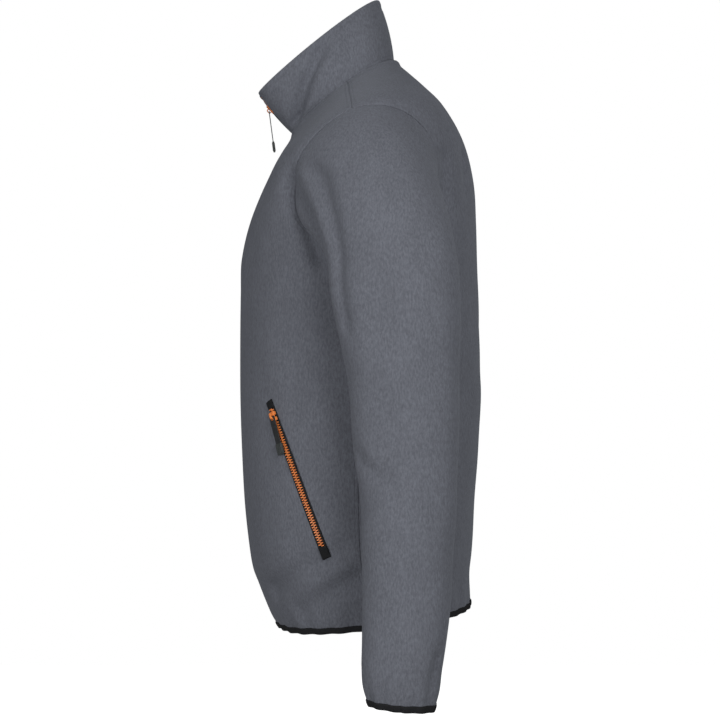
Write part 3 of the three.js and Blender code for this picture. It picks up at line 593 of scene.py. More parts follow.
# Panel grids. A row has v at the middle of the garment, and edge and t at the panel's side edge.
def panel_rows(back):
    seam = math.pi / 2 + (SEAM_HALF if back else -SEAM_HALF) / TORSO_RADIUS
    low = rows_between(torso, 1, 0, ARMPIT_ROW, (True, False))[:-1]
    step = np.arange(ARMHOLE_STEPS + 1) / ARMHOLE_STEPS
    arm = math.pi + math.pi * step
    arm = 2 * math.pi - arm if back else arm
    edge, t = armhole_place(arm, SEAM_HALF)
    t = np.maximum(t, seam) if back else np.minimum(t, seam)
    middle = mix(ARMPIT_ROW, SHOULDER_ROW, step)
    high = rows_between(torso, math.pi / 2, SHOULDER_ROW, NECK_ROW - 0.01, (False, True))[1:]
    none = np.nan
    return {
        "v": np.concatenate([low, middle, high]),
        "edge": np.concatenate([low, edge, high]),
        "t": np.concatenate([0 * low + seam, t, 0 * high + seam]),
        "arm": np.concatenate([0 * low + none, arm, 0 * high + none]),
    }


def panel_shape(v, t, rows, from_edge):
    """Outer points, their normals, inward offsets and distances from the neck seam."""
    p = torso(v, t)
    n = torso_normal(v, t)
    offset = n
    has_arm = ~np.isnan(rows["arm"])
    arm = np.where(has_arm, rows["arm"], math.pi)
    for edge_side, away in from_edge:
        column = 0 if away[0, 0] < away[0, -1] else -1
        meet = mitre(n[:, column], sleeve_normal(edge_side, 0.0, arm))
        near = np.exp(-((away / MITRE_REACH) ** 2)) * has_arm[:, None]
        offset = offset + (meet[:, None] - n) * near[..., None]
    down = np.linalg.norm(p - p[-1:], axis=-1)
    meet = mitre(n[-1], collar_normal(0.0, t[-1]))
    return p, n, offset + toward_mitre(n, meet, down), down


def toward_mitre(n, meet, away):
    """Change of the inward offset near a seam, away mm from it."""
    return (meet[None] - n) * np.exp(-((away / MITRE_REACH) ** 2))[..., None]


def seam_dip(away):
    return SEAM_DIP * np.exp(-((away / SEAM_DIP_HALF) ** 2))


def finish_panel(name, material, rows, shape, around_mm, seams, free, still):
    """Adds the sewn and soft detail to a panel and makes its wall."""
    p, n, offset, down = shape
    seam = seam_distance(p, seams)
    above = np.linalg.norm(p - p[:1], axis=-1)
    lift = ripple(p) * smooth(seam, 2, 16) * still
    lift = lift + gathers(around_mm, above) * still * smooth(seam, 1, 12)
    lift = lift + RIDGE * np.exp(-(((down - 5.5) / 4.2) ** 2)) * smooth(down, 0, 2.4) * still
    lift = lift - seam_dip(seam)
    half = rounded_half(free, FLEECE / 2)
    outer = p + n * (lift - FLEECE / 2 + half)[..., None]
    inner = p - offset * (FLEECE / 2 + half)[..., None] + n * lift[..., None]
    return shell(name, outer, inner, material, {"seam_mm": seam}), outer, inner, rows["v"]


def front_panel(name, side, material):
    rows = panel_rows(False)
    width = row_at(TORSO, rows["v"])["w"]
    near = np.concatenate([[0, 0.15, 0.4, 0.8, 1.2], np.linspace(2.2, 22.4, 10)]) + FRONT_EDGE
    t_near = near[None, :] / width[:, None]
    start = t_near[:, -1:]
    end = rows["t"][:, None] - EDGE_STEPS[-1] / TORSO_RADIUS
    count = int(FRONT_GRID_WIDE / CLOTH_STEP)
    middle = mix(start, end, np.arange(1, count + 1)[None] / count)
    last = rows["t"][:, None] - np.array(EDGE_STEPS[:-1])[None, ::-1] / TORSO_RADIUS
    t = np.concatenate([t_near, middle, last], 1)
    k = np.clip((t - start) / (rows["t"][:, None] - start), 0, 1)
    v = mix(rows["v"][:, None], rows["edge"][:, None], k)
    away = (rows["t"][:, None] - t) * TORSO_RADIUS
    shape = panel_shape(v, side * t, rows, [(side, away)])
    seams = [shape[0][:, -1], shape[0][-1]]
    free = np.full(t.shape, FAR)
    free[:, : len(near)] = near - FRONT_EDGE
    still = smooth(t * width[:, None], 14, 34)
    return finish_panel(name, material, rows, shape, side * t * TORSO_RADIUS, seams, free, still)


def back_panel(name, material):
    rows = panel_rows(True)
    start = rows["t"][:, None]
    count = int(BACK_GRID_WIDE / CLOTH_STEP)
    first = start + np.array(EDGE_STEPS[:-1])[None] / TORSO_RADIUS
    low = start + EDGE_STEPS[-1] / TORSO_RADIUS
    middle = mix(low, 2 * math.pi - low, np.arange(count + 1)[None] / count)
    last = 2 * math.pi - first[:, ::-1]
    t = np.concatenate([first, middle, last], 1)
    k = (t - start) / (2 * math.pi - 2 * start)
    v = mix(rows["edge"][:, None], rows["v"][:, None], 1 - np.abs(2 * k - 1))
    left = (t - start) * TORSO_RADIUS
    right = (2 * math.pi - start - t) * TORSO_RADIUS
    shape = panel_shape(v, t, rows, [(1, left), (-1, right)])
    p = shape[0]
    seams = [p[:, 0], p[:, -1], p[-1]]
    free = np.full(t.shape, FAR)
    return finish_panel(name, material, rows, shape, t * TORSO_RADIUS, seams, free, np.ones(t.shape))


def sleeve_piece(name, side, material):
    angles = np.arange(2 * ARMHOLE_STEPS) * math.pi / ARMHOLE_STEPS
    cap = np.concatenate([np.array(EDGE_STEPS) / 90, np.linspace(0.033, 1, 30)[1:]])
    lower = rows_between(lambda u, b: sleeve(side, u, b), 1.57, 1.0, float(SLEEVE_END), (False, True))
    q = np.concatenate([cap, lower[1:]])
    q, a = np.meshgrid(q, angles, indexing="ij")
    p = sleeve(side, q, a)
    n = sleeve_normal(side, q, a)
    ring_v, ring_t = armhole_place(angles)
    meet = mitre(torso_normal(ring_v, side * ring_t), n[0])
    from_seam = np.linalg.norm(p - p[:1], axis=-1)
    offset = n + toward_mitre(n, meet, from_seam)
    start = cap_start(side, angles) * (2 * SEAM_HALF)
    p = p + start[None] * np.exp(-((from_seam / 2) ** 2))[..., None]
    under = p[:, ARMHOLE_STEPS]
    seam = seam_distance(p, [np.concatenate([p[0], p[0, :1]]), under])
    above = np.linalg.norm(p - p[-1:], axis=-1)
    lift = ripple(p) * smooth(seam, 2, 16) * smooth(q, 0, 0.2)
    lift = lift + 0.8 * gathers(a * SLEEVE_RADIUS, above, side)
    lift = lift - seam_dip(seam)
    outer = p + n * lift[..., None]
    inner = p - offset * FLEECE + n * lift[..., None]
    made = shell(name, outer, inner, material, {"seam_mm": seam}, ringed=True)
    return made, outer, inner, q[:, 0]


def collar_columns(h, count):
    """Angles round the collar at height h, from the left front edge to the right one."""
    edge = front_edge(h)
    width = mix(COLLAR_WIDTH[0], COLLAR_WIDTH[1], h)
    near = (np.array([0, 0.25, 0.7, 1.3, 2.1, 3.5, 5.4, 8, 11]) + edge) / width
    middle = np.linspace(near[-1], 2 * math.pi - near[-1], count)
    return np.concatenate([near[:-1], middle, 2 * math.pi - near[:-1][::-1]])


def collar_piece(name, material):
    down_from_top = np.array([0, 0.25, 0.7, 1.3, 2.1, 3.5, 5])
    up = np.array(EDGE_STEPS)
    middle = np.linspace(up[-1], COLLAR_HEIGHT - down_from_top[-1], 24)
    height = np.concatenate([up[:-1], middle, COLLAR_HEIGHT - down_from_top[:-1][::-1]])
    h = height / COLLAR_HEIGHT
    h[0] = SEAM_HALF / COLLAR_HEIGHT
    t = np.stack([collar_columns(k, 150) for k in h])
    h = np.broadcast_to(h[:, None], t.shape)
    p = collar(h, t)
    n = collar_normal(h, t)
    meet = mitre(torso_normal(float(NECK_ROW), t[0]), n[0])
    from_seam = h * COLLAR_HEIGHT
    offset = n + toward_mitre(n, meet, from_seam)
    top = (1 - h) * COLLAR_HEIGHT
    side_edge = np.linalg.norm(p - p[:, :1], axis=-1)
    other_edge = np.linalg.norm(p - p[:, -1:], axis=-1)
    free = np.minimum(np.minimum(side_edge, other_edge), top)
    turn = np.abs(turn_of(t)) * COLLAR_RADIUS
    lift = ripple(p) * smooth(from_seam, 2, 14) * smooth(turn, 14, 34) * smooth(top, 0, 10)
    from_stitch = np.abs(top - COLLAR_STITCH_DOWN)
    groove = np.exp(-((from_stitch / 1.2) ** 2)) * smooth(turn, 8, 14)
    lift = lift + 0.6 * smooth(top, 9, 5) - COLLAR_GROOVE * groove
    lift = lift - seam_dip(from_seam)
    half = rounded_half(free, COLLAR_CLOTH / 2)
    outer = p + n * (lift - COLLAR_CLOTH / 2 + half)[..., None]
    inner = p - offset * (COLLAR_CLOTH / 2 + half)[..., None]
    lines = np.where(from_stitch < 2.4, from_stitch, from_seam)
    return shell(name, outer, inner, material, {"seam_mm": lines})


# Elastic binding folded round an edge
BINDING_SIDE = table(
    "k lift",
    [(1, 0.55), (0.98, 0.95), (0.93, 1.2), (0.8, 1.4), (0.6, 1.5), (0.4, 1.5), (0.2, 1.4), (0, 1.25)],
)
BINDING_INNER = 0.25
BINDING_DROP = 0.2
BINDING_ROWS = 0.36
CUFF_ROWS = 0.34


def binding(name, edge, edge_in, up, up_in, material, ringed):
    """Each point of the edge and of the line above it carries one section of the binding."""
    mid0 = (edge + edge_in) / 2
    mid1 = (up + up_in) / 2
    n0 = unit(edge - edge_in)
    n1 = unit(up - up_in)
    half0 = np.linalg.norm(edge - edge_in, axis=-1, keepdims=True) / 2
    half1 = np.linalg.norm(up - up_in, axis=-1, keepdims=True) / 2
    down = unit(mid0 - mid1)

    def flank(side, k, lift):
        n = side * unit(mix(n0, n1, k))
        return mix(mid0, mid1, k) + n * (mix(half0, half1, k) + lift)

    def under(turn, lift, drop):
        lean = n0 * math.cos(turn) + down * math.sin(turn)
        return mid0 + n0 * math.cos(turn) * half0 + lean * lift + down * drop

    def sections(lifts, low, drop):
        turns = np.linspace(0, math.pi, 9)[1:-1]
        sides = list(zip(BINDING_SIDE["k"], lifts))
        rows = [flank(1, k, lift) for k, lift in sides]
        rows += [under(turn, low, drop) for turn in turns]
        return np.stack(rows + [flank(-1, k, lift) for k, lift in sides[::-1]])

    lifts = BINDING_SIDE["lift"]
    outside = sections(lifts, lifts[-1], BINDING_DROP)
    inside = sections(0 * lifts + BINDING_INNER, BINDING_INNER, 0)
    ring = along_path(edge)
    across = along_path(outside[:, len(ring) // 2])
    floats = {
        "u_mm": np.broadcast_to(ring[None, :], outside.shape[:2]),
        "v_mm": np.broadcast_to(across[:, None], outside.shape[:2]),
    }
    return shell(name, outside, inside, material, floats, ringed)


def binding_lines(outer, inner, rows, edge, level):
    """The edge row, first 0 or last -1, and the line where the binding ends, on both sides."""
    return outer[edge], inner[edge], row_between(outer, rows, level), row_between(inner, rows, level)


def row_between(grid, rows, level):
    i = int(np.clip(np.searchsorted(rows, level) - 1, 0, len(rows) - 2))
    k = (level - rows[i]) / (rows[i + 1] - rows[i])
    return mix(grid[i], grid[i + 1], k)


# Centre front zip: its path goes up the torso, then up the collar
TORSO_ZIP_ROWS = np.concatenate([[TAPE_FROM], np.arange(1, NECK_ROW - 0.4, 0.5)])
COLLAR_ZIP_ROWS = np.array([0, 0.2, 0.4, 0.6, 0.8, 0.97])


def zip_depth_torso(v):
    return FLEECE + TAPE_ROOM + smooth(v, NECK_ROW - 3, NECK_ROW - 1)


def zip_depth_collar(h, x):
    near = smooth(TAPE_NEAR + FLARE_WIDTH - x, 0, FLARE_WIDTH)
    return COLLAR_CLOTH + TAPE_ROOM_COLLAR - TAPE_FLARE * smooth(h, FLARE_FROM, FLARE_FULL) * near


def collar_zip_angle(h, x, side):
    return side * (x + front_edge(h) - FRONT_EDGE) / mix(COLLAR_WIDTH[0], COLLAR_WIDTH[1], h)


def collar_zip_point(h, x, side, extra):
    """Points beside the zip at heights h of the collar."""
    t = collar_zip_angle(h, x, side)
    return collar(h, t) - normal_at(collar_base, h, t, 1) * (zip_depth_collar(h, x) + extra)[:, None]


def zip_point(x, side, extra):
    """Points beside the zip on all its rows, x from the middle and extra behind the tape's face."""
    v = TORSO_ZIP_ROWS
    t = side * x / row_at(TORSO, v)["w"]
    depth = (zip_depth_torso(v) + extra)[:, None]
    low = torso(v, t) - normal_at(torso_base, v, t, NECK_ROW) * depth
    h = COLLAR_ZIP_ROWS
    t = collar_zip_angle(h, x, side)
    n = normal_at(collar_base, h, t, 1)
    meet = mitre(normal_at(torso_base, float(NECK_ROW), t[:1], NECK_ROW), n[:1])
    n = np.concatenate([meet, n[1:]])
    depth = zip_depth_collar(h, x) + extra
    return np.concatenate([low, collar(h, t) - n * depth[:, None]])


def zip_tape(name, side, material):
    columns = np.array([0, 0.25, 0.6, 1.2, 2.4, 4, 6, 8, 10, 12, 13.6, 14.2, TAPE_WIDE]) + TAPE_NEAR
    middle = np.stack([zip_point(x, side, TAPE / 2) for x in columns], 1)
    behind = np.stack([zip_point(x, side, TAPE / 2 + 1) for x in columns], 1)
    middle = rounded_rows(middle)
    n = unit(middle - rounded_rows(behind))
    free = np.minimum(columns - columns[0], columns[-1] - columns)
    half = rounded_half(free, TAPE / 2)[None, :, None]
    s = along_path(middle[:, 0])
    floats = {
        "u_mm": np.broadcast_to(s[:, None], middle.shape[:2]),
        "v_mm": np.broadcast_to(columns[None, :], middle.shape[:2]),
    }
    return shell(name, middle + n * half, middle - n * half, material, floats)


def tape_edges(edge_point):
    """Left and right inner edge of the tapes and the way outward; edge_point takes side and depth."""
    left = edge_point(1, TAPE / 2)
    right = edge_point(-1, TAPE / 2)
    raised = edge_point(1, TAPE / 2 - 1) - left
    return left, right, raised + edge_point(-1, TAPE / 2 - 1) - right


def chain_axes(left, right, raised):
    """Middle of the chain, its axis across and its axis outward."""
    across = unit(left - right)
    return (left + right) / 2, across, unit(raised - across * dot(raised, across))


def chain_path():
    """Middle, axes, half width, opening and row number of the tooth chain along its fine path."""
    edges = tape_edges(lambda side, depth: zip_point(TAPE_NEAR, side, depth))
    left, right, raised = (rounded_rows(g) for g in edges)
    reach = np.linalg.norm(left - right, axis=-1) / 2
    h = np.concatenate([0 * TORSO_ZIP_ROWS, COLLAR_ZIP_ROWS])
    opening = front_edge(np.maximum(rounded_rows(h), 0)) - FRONT_EDGE
    row = np.concatenate([TORSO_ZIP_ROWS, NECK_ROW + COLLAR_ZIP_ROWS])
    return *chain_axes(left, right, raised), reach, opening, rounded_rows(row)


def chain_frame(h):
    """Middle and axes of the chain at height h of the collar."""
    h = np.array([h])
    return chain_axes(*tape_edges(lambda side, depth: collar_zip_point(h, TAPE_NEAR, side, depth)[0]))


def tooth_template():
    """Moulded tooth: x from root 0 to head 1, y along the zip and z through it, each one wide."""
    outline = [(0, -0.5), (0.4, -0.42), (0.72, -0.5), (1, -0.3)]
    outline += [(x, -y) for x, y in outline[::-1]]
    layers = [(-0.5, 0.78), (-0.36, 1), (0.36, 1), (0.5, 0.78)]
    points = [(x, y * scale, z) for z, scale in layers for x, y in outline]
    return np.array(points), prism_faces(len(outline), len(layers))


def prism_faces(size, layers):
    """Faces of a closed body of equal outlines laid one over the other."""
    faces = [list(range(size))[::-1], [(layers - 1) * size + i for i in range(size)]]
    for k in range(layers - 1):
        for i in range(size):
            j = (i + 1) % size
            faces.append([k * size + i, k * size + j, (k + 1) * size + j, (k + 1) * size + i])
    return faces


def front_teeth(name, side, material):
    mid, across, out, reach, opening, row = chain_path()
    s = along_path(mid)
    start = np.interp(1, row, s)
    shift = 0 if side > 0 else TOOTH_PITCH / 2
    places = np.arange(start + shift, s[-1] - 1, TOOTH_PITCH)
    mid, across, out = (resample(g, s, places) for g in (mid, across, out))
    reach = np.interp(places, s, reach)
    opening = np.interp(places, s, opening)
    up = unit(np.gradient(mid, axis=0))
    overlap = 0.75 * (1 - smooth(opening, 0, 0.4))
    root = reach - 0.3
    head = opening + TEETH_APART - overlap
    origins = mid + across * (side * root)[:, None]
    ex = across * (-side * (root - head))[:, None]
    return scattered(name, tooth_template(), origins, (ex, up * TOOTH_ALONG, out * TOOTH_THICK), material)


# Pocket zips
def bisect(low, high, short):
    for _ in range(36):
        middle = (low + high) / 2
        under = short(middle)
        low = np.where(under, middle, low)
        high = np.where(under, high, middle)
    return low


def panel_place(side, y, z):
    """Row and angle on a front panel that show at depth y and height z from the side."""
    ones = np.ones(np.shape(y))
    v = bisect(0 * ones, NECK_ROW * ones, lambda k: torso_base(k, ones)[..., 2] < z)
    t = bisect(0.15 * ones, 1.5 * ones, lambda k: torso(v, side * k)[..., 1] < y)
    return v, side * t


def pocket_place(side, k):
    y = mix(POCKET["yTop"], POCKET["yEnd"], k)
    return panel_place(side, y, mix(POCKET["zTop"], POCKET["zEnd"], k))


def pocket_point(side, s, offset, lift):
    """Point s along the pocket, offset across it and lifted off the cloth."""
    k = np.asarray(s, float) / POCKET_LONG
    here = pocket_place(side, k)
    p = torso(*here)
    down = unit(torso(*pocket_place(side, k + 0.02)) - p)
    n = torso_normal(*here)
    across = unit(np.cross(n, down))
    return p + across * np.asarray(offset)[..., None] + n * np.asarray(lift)[..., None]


def pocket_strip(name, side, start, end, half, low, high, crown, material):
    """Strip with rounded edges along the pocket; crown raises its middle."""
    s = np.linspace(start, end, int((end - start) / 1.5) + 2)
    x = half * np.array([-1, -0.97, -0.9, -0.7, -0.4, 0, 0.4, 0.7, 0.9, 0.97, 1])
    s, x = np.meshgrid(s, x, indexing="ij")
    free = np.minimum(np.minimum(half - np.abs(x), s - start), end - s)
    round_off = 1 - rounded_half(free, (high - low) / 2) / ((high - low) / 2)
    top = high - round_off * (high - low) / 2 + crown * (1 - (x / half) ** 2)
    bottom = low + round_off * (high - low) / 2
    outer = pocket_point(side, s, x, top)
    inner = pocket_point(side, s, x, bottom)
    return shell(name, outer, inner, material, {"u_mm": s, "v_mm": x + half})


def pocket_teeth(name, side, start, end, low, high, material):
    parts = []
    for column in (1, -1):
        s = np.arange(start + (0.75 + 0.75 * column), end, TOOTH_PITCH)
        ones = np.ones(len(s))
        mid = pocket_point(side, s, 0 * ones, (low + high) / 2 * ones)
        upper = pocket_point(side, s, 0 * ones, ((low + high) / 2 + 1) * ones)
        beside = pocket_point(side, s, ones, (low + high) / 2 * ones)
        out = upper - mid
        across = beside - mid
        origins = mid + across * (column * POCKET_TOOTH_HALF)
        ex = across * (-column * (POCKET_TOOTH_HALF + 0.5))
        parts.append((origins, ex, unit(np.cross(out, across)) * TOOTH_ALONG, out * (high - low)))
    origins, ex, ey, ez = (np.concatenate(group) for group in zip(*parts))
    return scattered(name, tooth_template(), origins, (ex, ey, ez), material)


# Plates with rounded rims for the trim
def plate(outlines, low, high, bevel):
    """Points and faces of a flat plate; the first outline is its edge and others are holes."""
    curve = bpy.data.curves.new("plate", "CURVE")
    curve.dimensions = "2D"
    curve.fill_mode = "BOTH"
    curve.extrude = (high - low) / 2 - bevel
    curve.bevel_depth = bevel
    curve.bevel_resolution = 2
    curve.offset = -bevel
    for outline in outlines:
        spline = curve.splines.new("POLY")
        spline.points.add(len(outline) - 1)
        for point, (x, y) in zip(spline.points, outline):
            point.co = (x, y, 0, 1)
        spline.use_cyclic_u = True
    holder = bpy.data.objects.new("plate", curve)
    mesh = bpy.data.meshes.new_from_object(holder)
    points = np.array([tuple(v.co) for v in mesh.vertices])
    points[:, 2] += (low + high) / 2
    faces = [list(p.vertices) for p in mesh.polygons]
    bpy.data.objects.remove(holder)
    bpy.data.meshes.remove(mesh)
    bpy.data.curves.remove(curve)
    return points, faces


def rounded_rectangle(x0, x1, y0, y1, r, steps=6):
    corners = [(x1 - r, y0 + r, -90), (x1 - r, y1 - r, 0), (x0 + r, y1 - r, 90), (x0 + r, y0 + r, 180)]
    outline = []
    for x, y, start in corners:
        for i in range(steps + 1):
            a = (start + 90 * i / steps) * DEG
            outline.append((x + r * math.cos(a), y + r * math.sin(a)))
    return outline


def placed(part, origin, x, y, z):
    points, faces = part
    moved = origin + points[:, :1] * x + points[:, 1:2] * y + points[:, 2:] * z
    return moved, faces


def slider_outline():
    """Plate with wide lobes, a waist and spread legs, notched at both ends."""
    half = SLIDER_LONG / 2
    right = []
    for y in np.linspace(-half, half, 33):
        w = 3.2 + (SLIDER_HALF - 3.2) * smooth(y, 0, 3.8) + 1.0 * smooth(-y, 0.6, 4.6)
        end = max(abs(y) - half + 1.3, 0) / 1.3
        right.append((float(w) * math.sqrt(1 - 0.55 * end * end), float(y)))
    top = [(1.5, half - 0.3), (0.9, half - 1.5), (0, half - 1.9), (-0.9, half - 1.5), (-1.5, half - 0.3)]
    bottom = [(-1.6, 0.3 - half), (-1.0, 1.9 - half), (0, 2.5 - half), (1.0, 1.9 - half), (1.6, 0.3 - half)]
    left = [(-x, y) for x, y in right[::-1]]
    return right + top + left + bottom


def arch_outline(half_out, half_in, base, inner_top, outer_top, steps=10):
    """Bridge seen from the side: an outer and an inner arch."""
    outline = []
    for half, top, start in ((half_out, outer_top, 0), (half_in, inner_top, 1)):
        for i in range(steps + 1):
            a = math.pi * abs(start - i / steps)
            wide, high = (abs(f) ** 0.6 * (1 if f > 0 else -1) for f in (math.cos(a), math.sin(a) + 1e-9))
            outline.append((half * wide, base + (top - base) * high))
    return outline


def slider(name, origin, across, up, out, clear_half, clear_under, material):
    plates = plate([slider_outline()], 0.05, SLIDER_PLATE, 0.35)
    parts = [placed(plates, origin, across, up, out)]
    roof = SLIDER_PLATE + BRIDGE_RISE + BRIDGE_ROOF
    arch = arch_outline(3.1, 1.9, SLIDER_PLATE - 0.6, SLIDER_PLATE + BRIDGE_RISE, roof)
    parts.append(placed(plate([arch], -BRIDGE_HALF, BRIDGE_HALF, 0.4), origin, up, out, across))
    for sign in (1, -1):
        for low, high, far in ((-5.6, -1.6, 4.15), (1.4, 5.4, SLIDER_HALF)):
            flange = rounded_rectangle(clear_half, far, low, high, 0.25, 3)
            flange = [(sign * x, y) for x, y in flange][::sign]
            parts.append(placed(plate([flange], -clear_under, 0.4, 0.12), origin, across, up, out))
    return joined(name, parts, material)


def pull(names, size, pivot, axis, hang, out, strap_material, grip_material):
    w = size["strap"] / 2
    outline = rounded_rectangle(-w, w, -0.5, size["length"], 0.9)
    eye = rounded_rectangle(-2.1, 2.1, 0.5, 4.3, 0.8)
    strap = plate([outline, eye], -size["thick"] / 2, size["thick"] / 2, 0.22)
    strap_piece = joined(names[0], [placed(strap, pivot, axis, hang, out)], strap_material)
    g = size["grip"] / 2
    start = size["length"] - 1.2
    end = size["end"]
    thick = size["grip_thick"] / 2
    block = rounded_rectangle(-g, g, start, end, 1.6)
    parts = [placed(plate([block], -thick, thick, 0.55), pivot, axis, hang, out)]
    pitch = (2 * g - 2) / 5
    for k in range(5):
        x = -g + 1 + pitch * (k + 0.5)
        rib = rounded_rectangle(x - 0.5, x + 0.5, start + 1.6, end - 1.6, 0.48, 4)
        parts.append(placed(plate([rib], -thick - 0.45, thick + 0.45, 0.3), pivot, axis, hang, out))
    return strap_piece, joined(names[1], parts, grip_material)


# Sewing: short threads laid along paths
def stitches(name, paths, lift, wide, material):
    """Threads along each path of points and outward directions."""
    outline = [(0, -0.5), (0.12, -0.2), (0.5, 0), (0.88, -0.2), (1, -0.5)]
    ring = [(math.cos(a), math.sin(a)) for a in (0, 72 * DEG, 144 * DEG, 216 * DEG, 288 * DEG)]
    swell = (0.35, 0.9, 1.0, 0.9, 0.35)
    points = [(x, c * k * 0.5, z + s * k * 0.5) for (x, z), k in zip(outline, swell) for c, s in ring]
    faces = [face[::-1] for face in prism_faces(len(ring), len(outline))]
    groups = []
    for path, normal in paths:
        s = along_path(path)
        places = np.arange(STITCH_PITCH / 2, s[-1] - STITCH_LONG, STITCH_PITCH)
        start = resample(path, s, places)
        end = resample(path, s, places + STITCH_LONG)
        out = unit(resample(normal, s, places))
        run = end - start
        out = unit(out - run * dot(out, run) / dot(run, run))
        side = np.cross(unit(run), out)
        groups.append((start + out * lift, run, side * wide, out * wide))
    origins, ex, ey, ez = (np.concatenate(group) for group in zip(*groups))
    return scattered(name, (np.array(points), faces), origins, (ex, ey, ez), material)


# Shader helpers
def new_material(name, roughness):
    material = bpy.data.materials.new(name)
    material.use_nodes = True
    surface = material.node_tree.nodes["Principled BSDF"]
    surface.inputs["Roughness"].default_value = roughness
    return material, material.node_tree, surface


def link(tree, value, socket):
    if isinstance(value, bpy.types.NodeSocket):
        tree.links.new(value, socket)
    else:
        socket.default_value = value


def set_inputs(tree, made, inputs):
    for key, value in inputs.items():
        link(tree, value, made.inputs[key])


def node(tree, kind, inputs, output=0, **settings):
    made = tree.nodes.new(kind)
    for key, value in settings.items():
        setattr(made, key, value)
    set_inputs(tree, made, inputs)
    return made.outputs[output]


def calc(tree, operation, a, b=0.0, c=0.0):
    return node(tree, "ShaderNodeMath", {0: a, 1: b, 2: c}, operation=operation)


def ranged(tree, value, low, high, out_low=0.0, out_high=1.0, kind="SMOOTHSTEP"):
    inputs = {"Value": value, "From Min": low, "From Max": high, "To Min": out_low, "To Max": out_high}
    return node(tree, "ShaderNodeMapRange", inputs, "Result", interpolation_type=kind)


def blend(tree, factor, a, b, kind="MIX"):
    inputs = {0: factor, 6: a, 7: b}
    return node(tree, "ShaderNodeMix", inputs, 2, data_type="RGBA", blend_type=kind)


def noise(tree, stretch, scale, detail=3.0, rough=0.6):
    """Noise in the piece's own coordinates, scaled by stretch along z."""
    place = node(tree, "ShaderNodeTexCoord", {}, "Object")
    place = node(tree, "ShaderNodeMapping", {"Vector": place, "Scale": (1, 1, stretch)})
    inputs = {"Vector": place, "Scale": scale, "Detail": detail, "Roughness": rough}
    return node(tree, "ShaderNodeTexNoise", inputs, "Fac")


def attribute(tree, name):
    return node(tree, "ShaderNodeAttribute", {}, "Fac", attribute_name=name)


def bump(tree, height, distance, strength=1.0):
    return node(tree, "ShaderNodeBump", {"Height": height, "Distance": distance, "Strength": strength})


def line_at(tree, value, place, half):
    """One on a line at the given place of a value, falling to nothing at half its width away."""
    away = calc(tree, "ABSOLUTE", calc(tree, "SUBTRACT", value, place))
    return ranged(tree, away, 0.0, half, 1.0, 0.0)


def near_black(level):
    return (level * 0.95, level * 0.98, level * 1.08, 1)


# Materials
def fleece_material():
    material, tree, surface = new_material("fleece", 0.96)
    tufts = noise(tree, 0.42, 520, 4.0, 0.62)
    hairs = noise(tree, 0.3, 2300, 2.0, 0.5)
    clouds = noise(tree, 0.6, 34, 3.0, 0.55)
    seam = attribute(tree, "seam_mm")
    lines = calc(tree, "MAXIMUM", line_at(tree, seam, 0.0, 1.1), line_at(tree, seam, TWIN_LINE, 0.8))
    tone = ranged(tree, tufts, 0.33, 0.67, 0.0, 1.0, "LINEAR")
    colour = blend(tree, tone, (0.106, 0.111, 0.13, 1), (0.16, 0.169, 0.198, 1))
    shade = ranged(tree, clouds, 0.3, 0.7, 0.95, 1.05, "LINEAR")
    shade = calc(tree, "MULTIPLY", shade, ranged(tree, hairs, 0.3, 0.7, 0.93, 1.07, "LINEAR"))
    unlined = calc(tree, "SUBTRACT", 1.0, calc(tree, "MULTIPLY", lines, 0.1))
    shade = calc(tree, "MULTIPLY", shade, unlined)
    height = calc(tree, "MULTIPLY_ADD", tufts, 0.5, calc(tree, "MULTIPLY", hairs, 0.2))
    height = calc(tree, "SUBTRACT", height, calc(tree, "MULTIPLY", lines, 0.22))
    inputs = {
        "Base Color": blend(tree, 1.0, colour, shade, "MULTIPLY"),
        "Normal": bump(tree, height, 0.0012, 0.85),
        "Sheen Weight": 0.16,
        "Sheen Roughness": 0.55,
        "Sheen Tint": (0.75, 0.8, 0.9, 1),
        "Specular IOR Level": 0.12,
    }
    set_inputs(tree, surface, inputs)
    return material


def woven_material(name, dark, light, rib, roughness):
    """Narrow woven goods: ribs across, threads along."""
    material, tree, surface = new_material(name, roughness)
    ribs = calc(tree, "SINE", calc(tree, "MULTIPLY", attribute(tree, "u_mm"), 2 * math.pi / rib))
    threads = calc(tree, "SINE", calc(tree, "MULTIPLY", attribute(tree, "v_mm"), 2 * math.pi / THREAD_STEP))
    crossed = calc(tree, "MULTIPLY", ribs, threads)
    weave = calc(tree, "MULTIPLY_ADD", crossed, 0.3, calc(tree, "MULTIPLY", ribs, 0.5))
    fuzz = noise(tree, 1, 1800, 2.0)
    mixed = calc(tree, "MULTIPLY_ADD", fuzz, 0.8, calc(tree, "MULTIPLY", weave, 0.35))
    height = calc(tree, "MULTIPLY_ADD", fuzz, 0.5, weave)
    inputs = {
        "Base Color": blend(tree, ranged(tree, mixed, 0.0, 0.85), near_black(dark), near_black(light)),
        "Normal": bump(tree, height, 0.00022, 0.8),
        "Specular IOR Level": 0.25,
    }
    set_inputs(tree, surface, inputs)
    return material


def moulded_material(name, colour, worn, roughness, grain):
    """Moulded or painted trim with faint uneven gloss."""
    material, tree, surface = new_material(name, roughness)
    spots = ranged(tree, noise(tree, 1, 260, 3.0), 0.35, 0.7)
    fine = noise(tree, 1, 2600, 2.0)
    inputs = {
        "Base Color": blend(tree, spots, (*colour, 1), (*worn, 1)),
        "Roughness": ranged(tree, fine, 0.3, 0.7, roughness - 0.08, roughness + 0.1, "LINEAR"),
        "Normal": bump(tree, fine, grain, 0.5),
    }
    set_inputs(tree, surface, inputs)
    return material


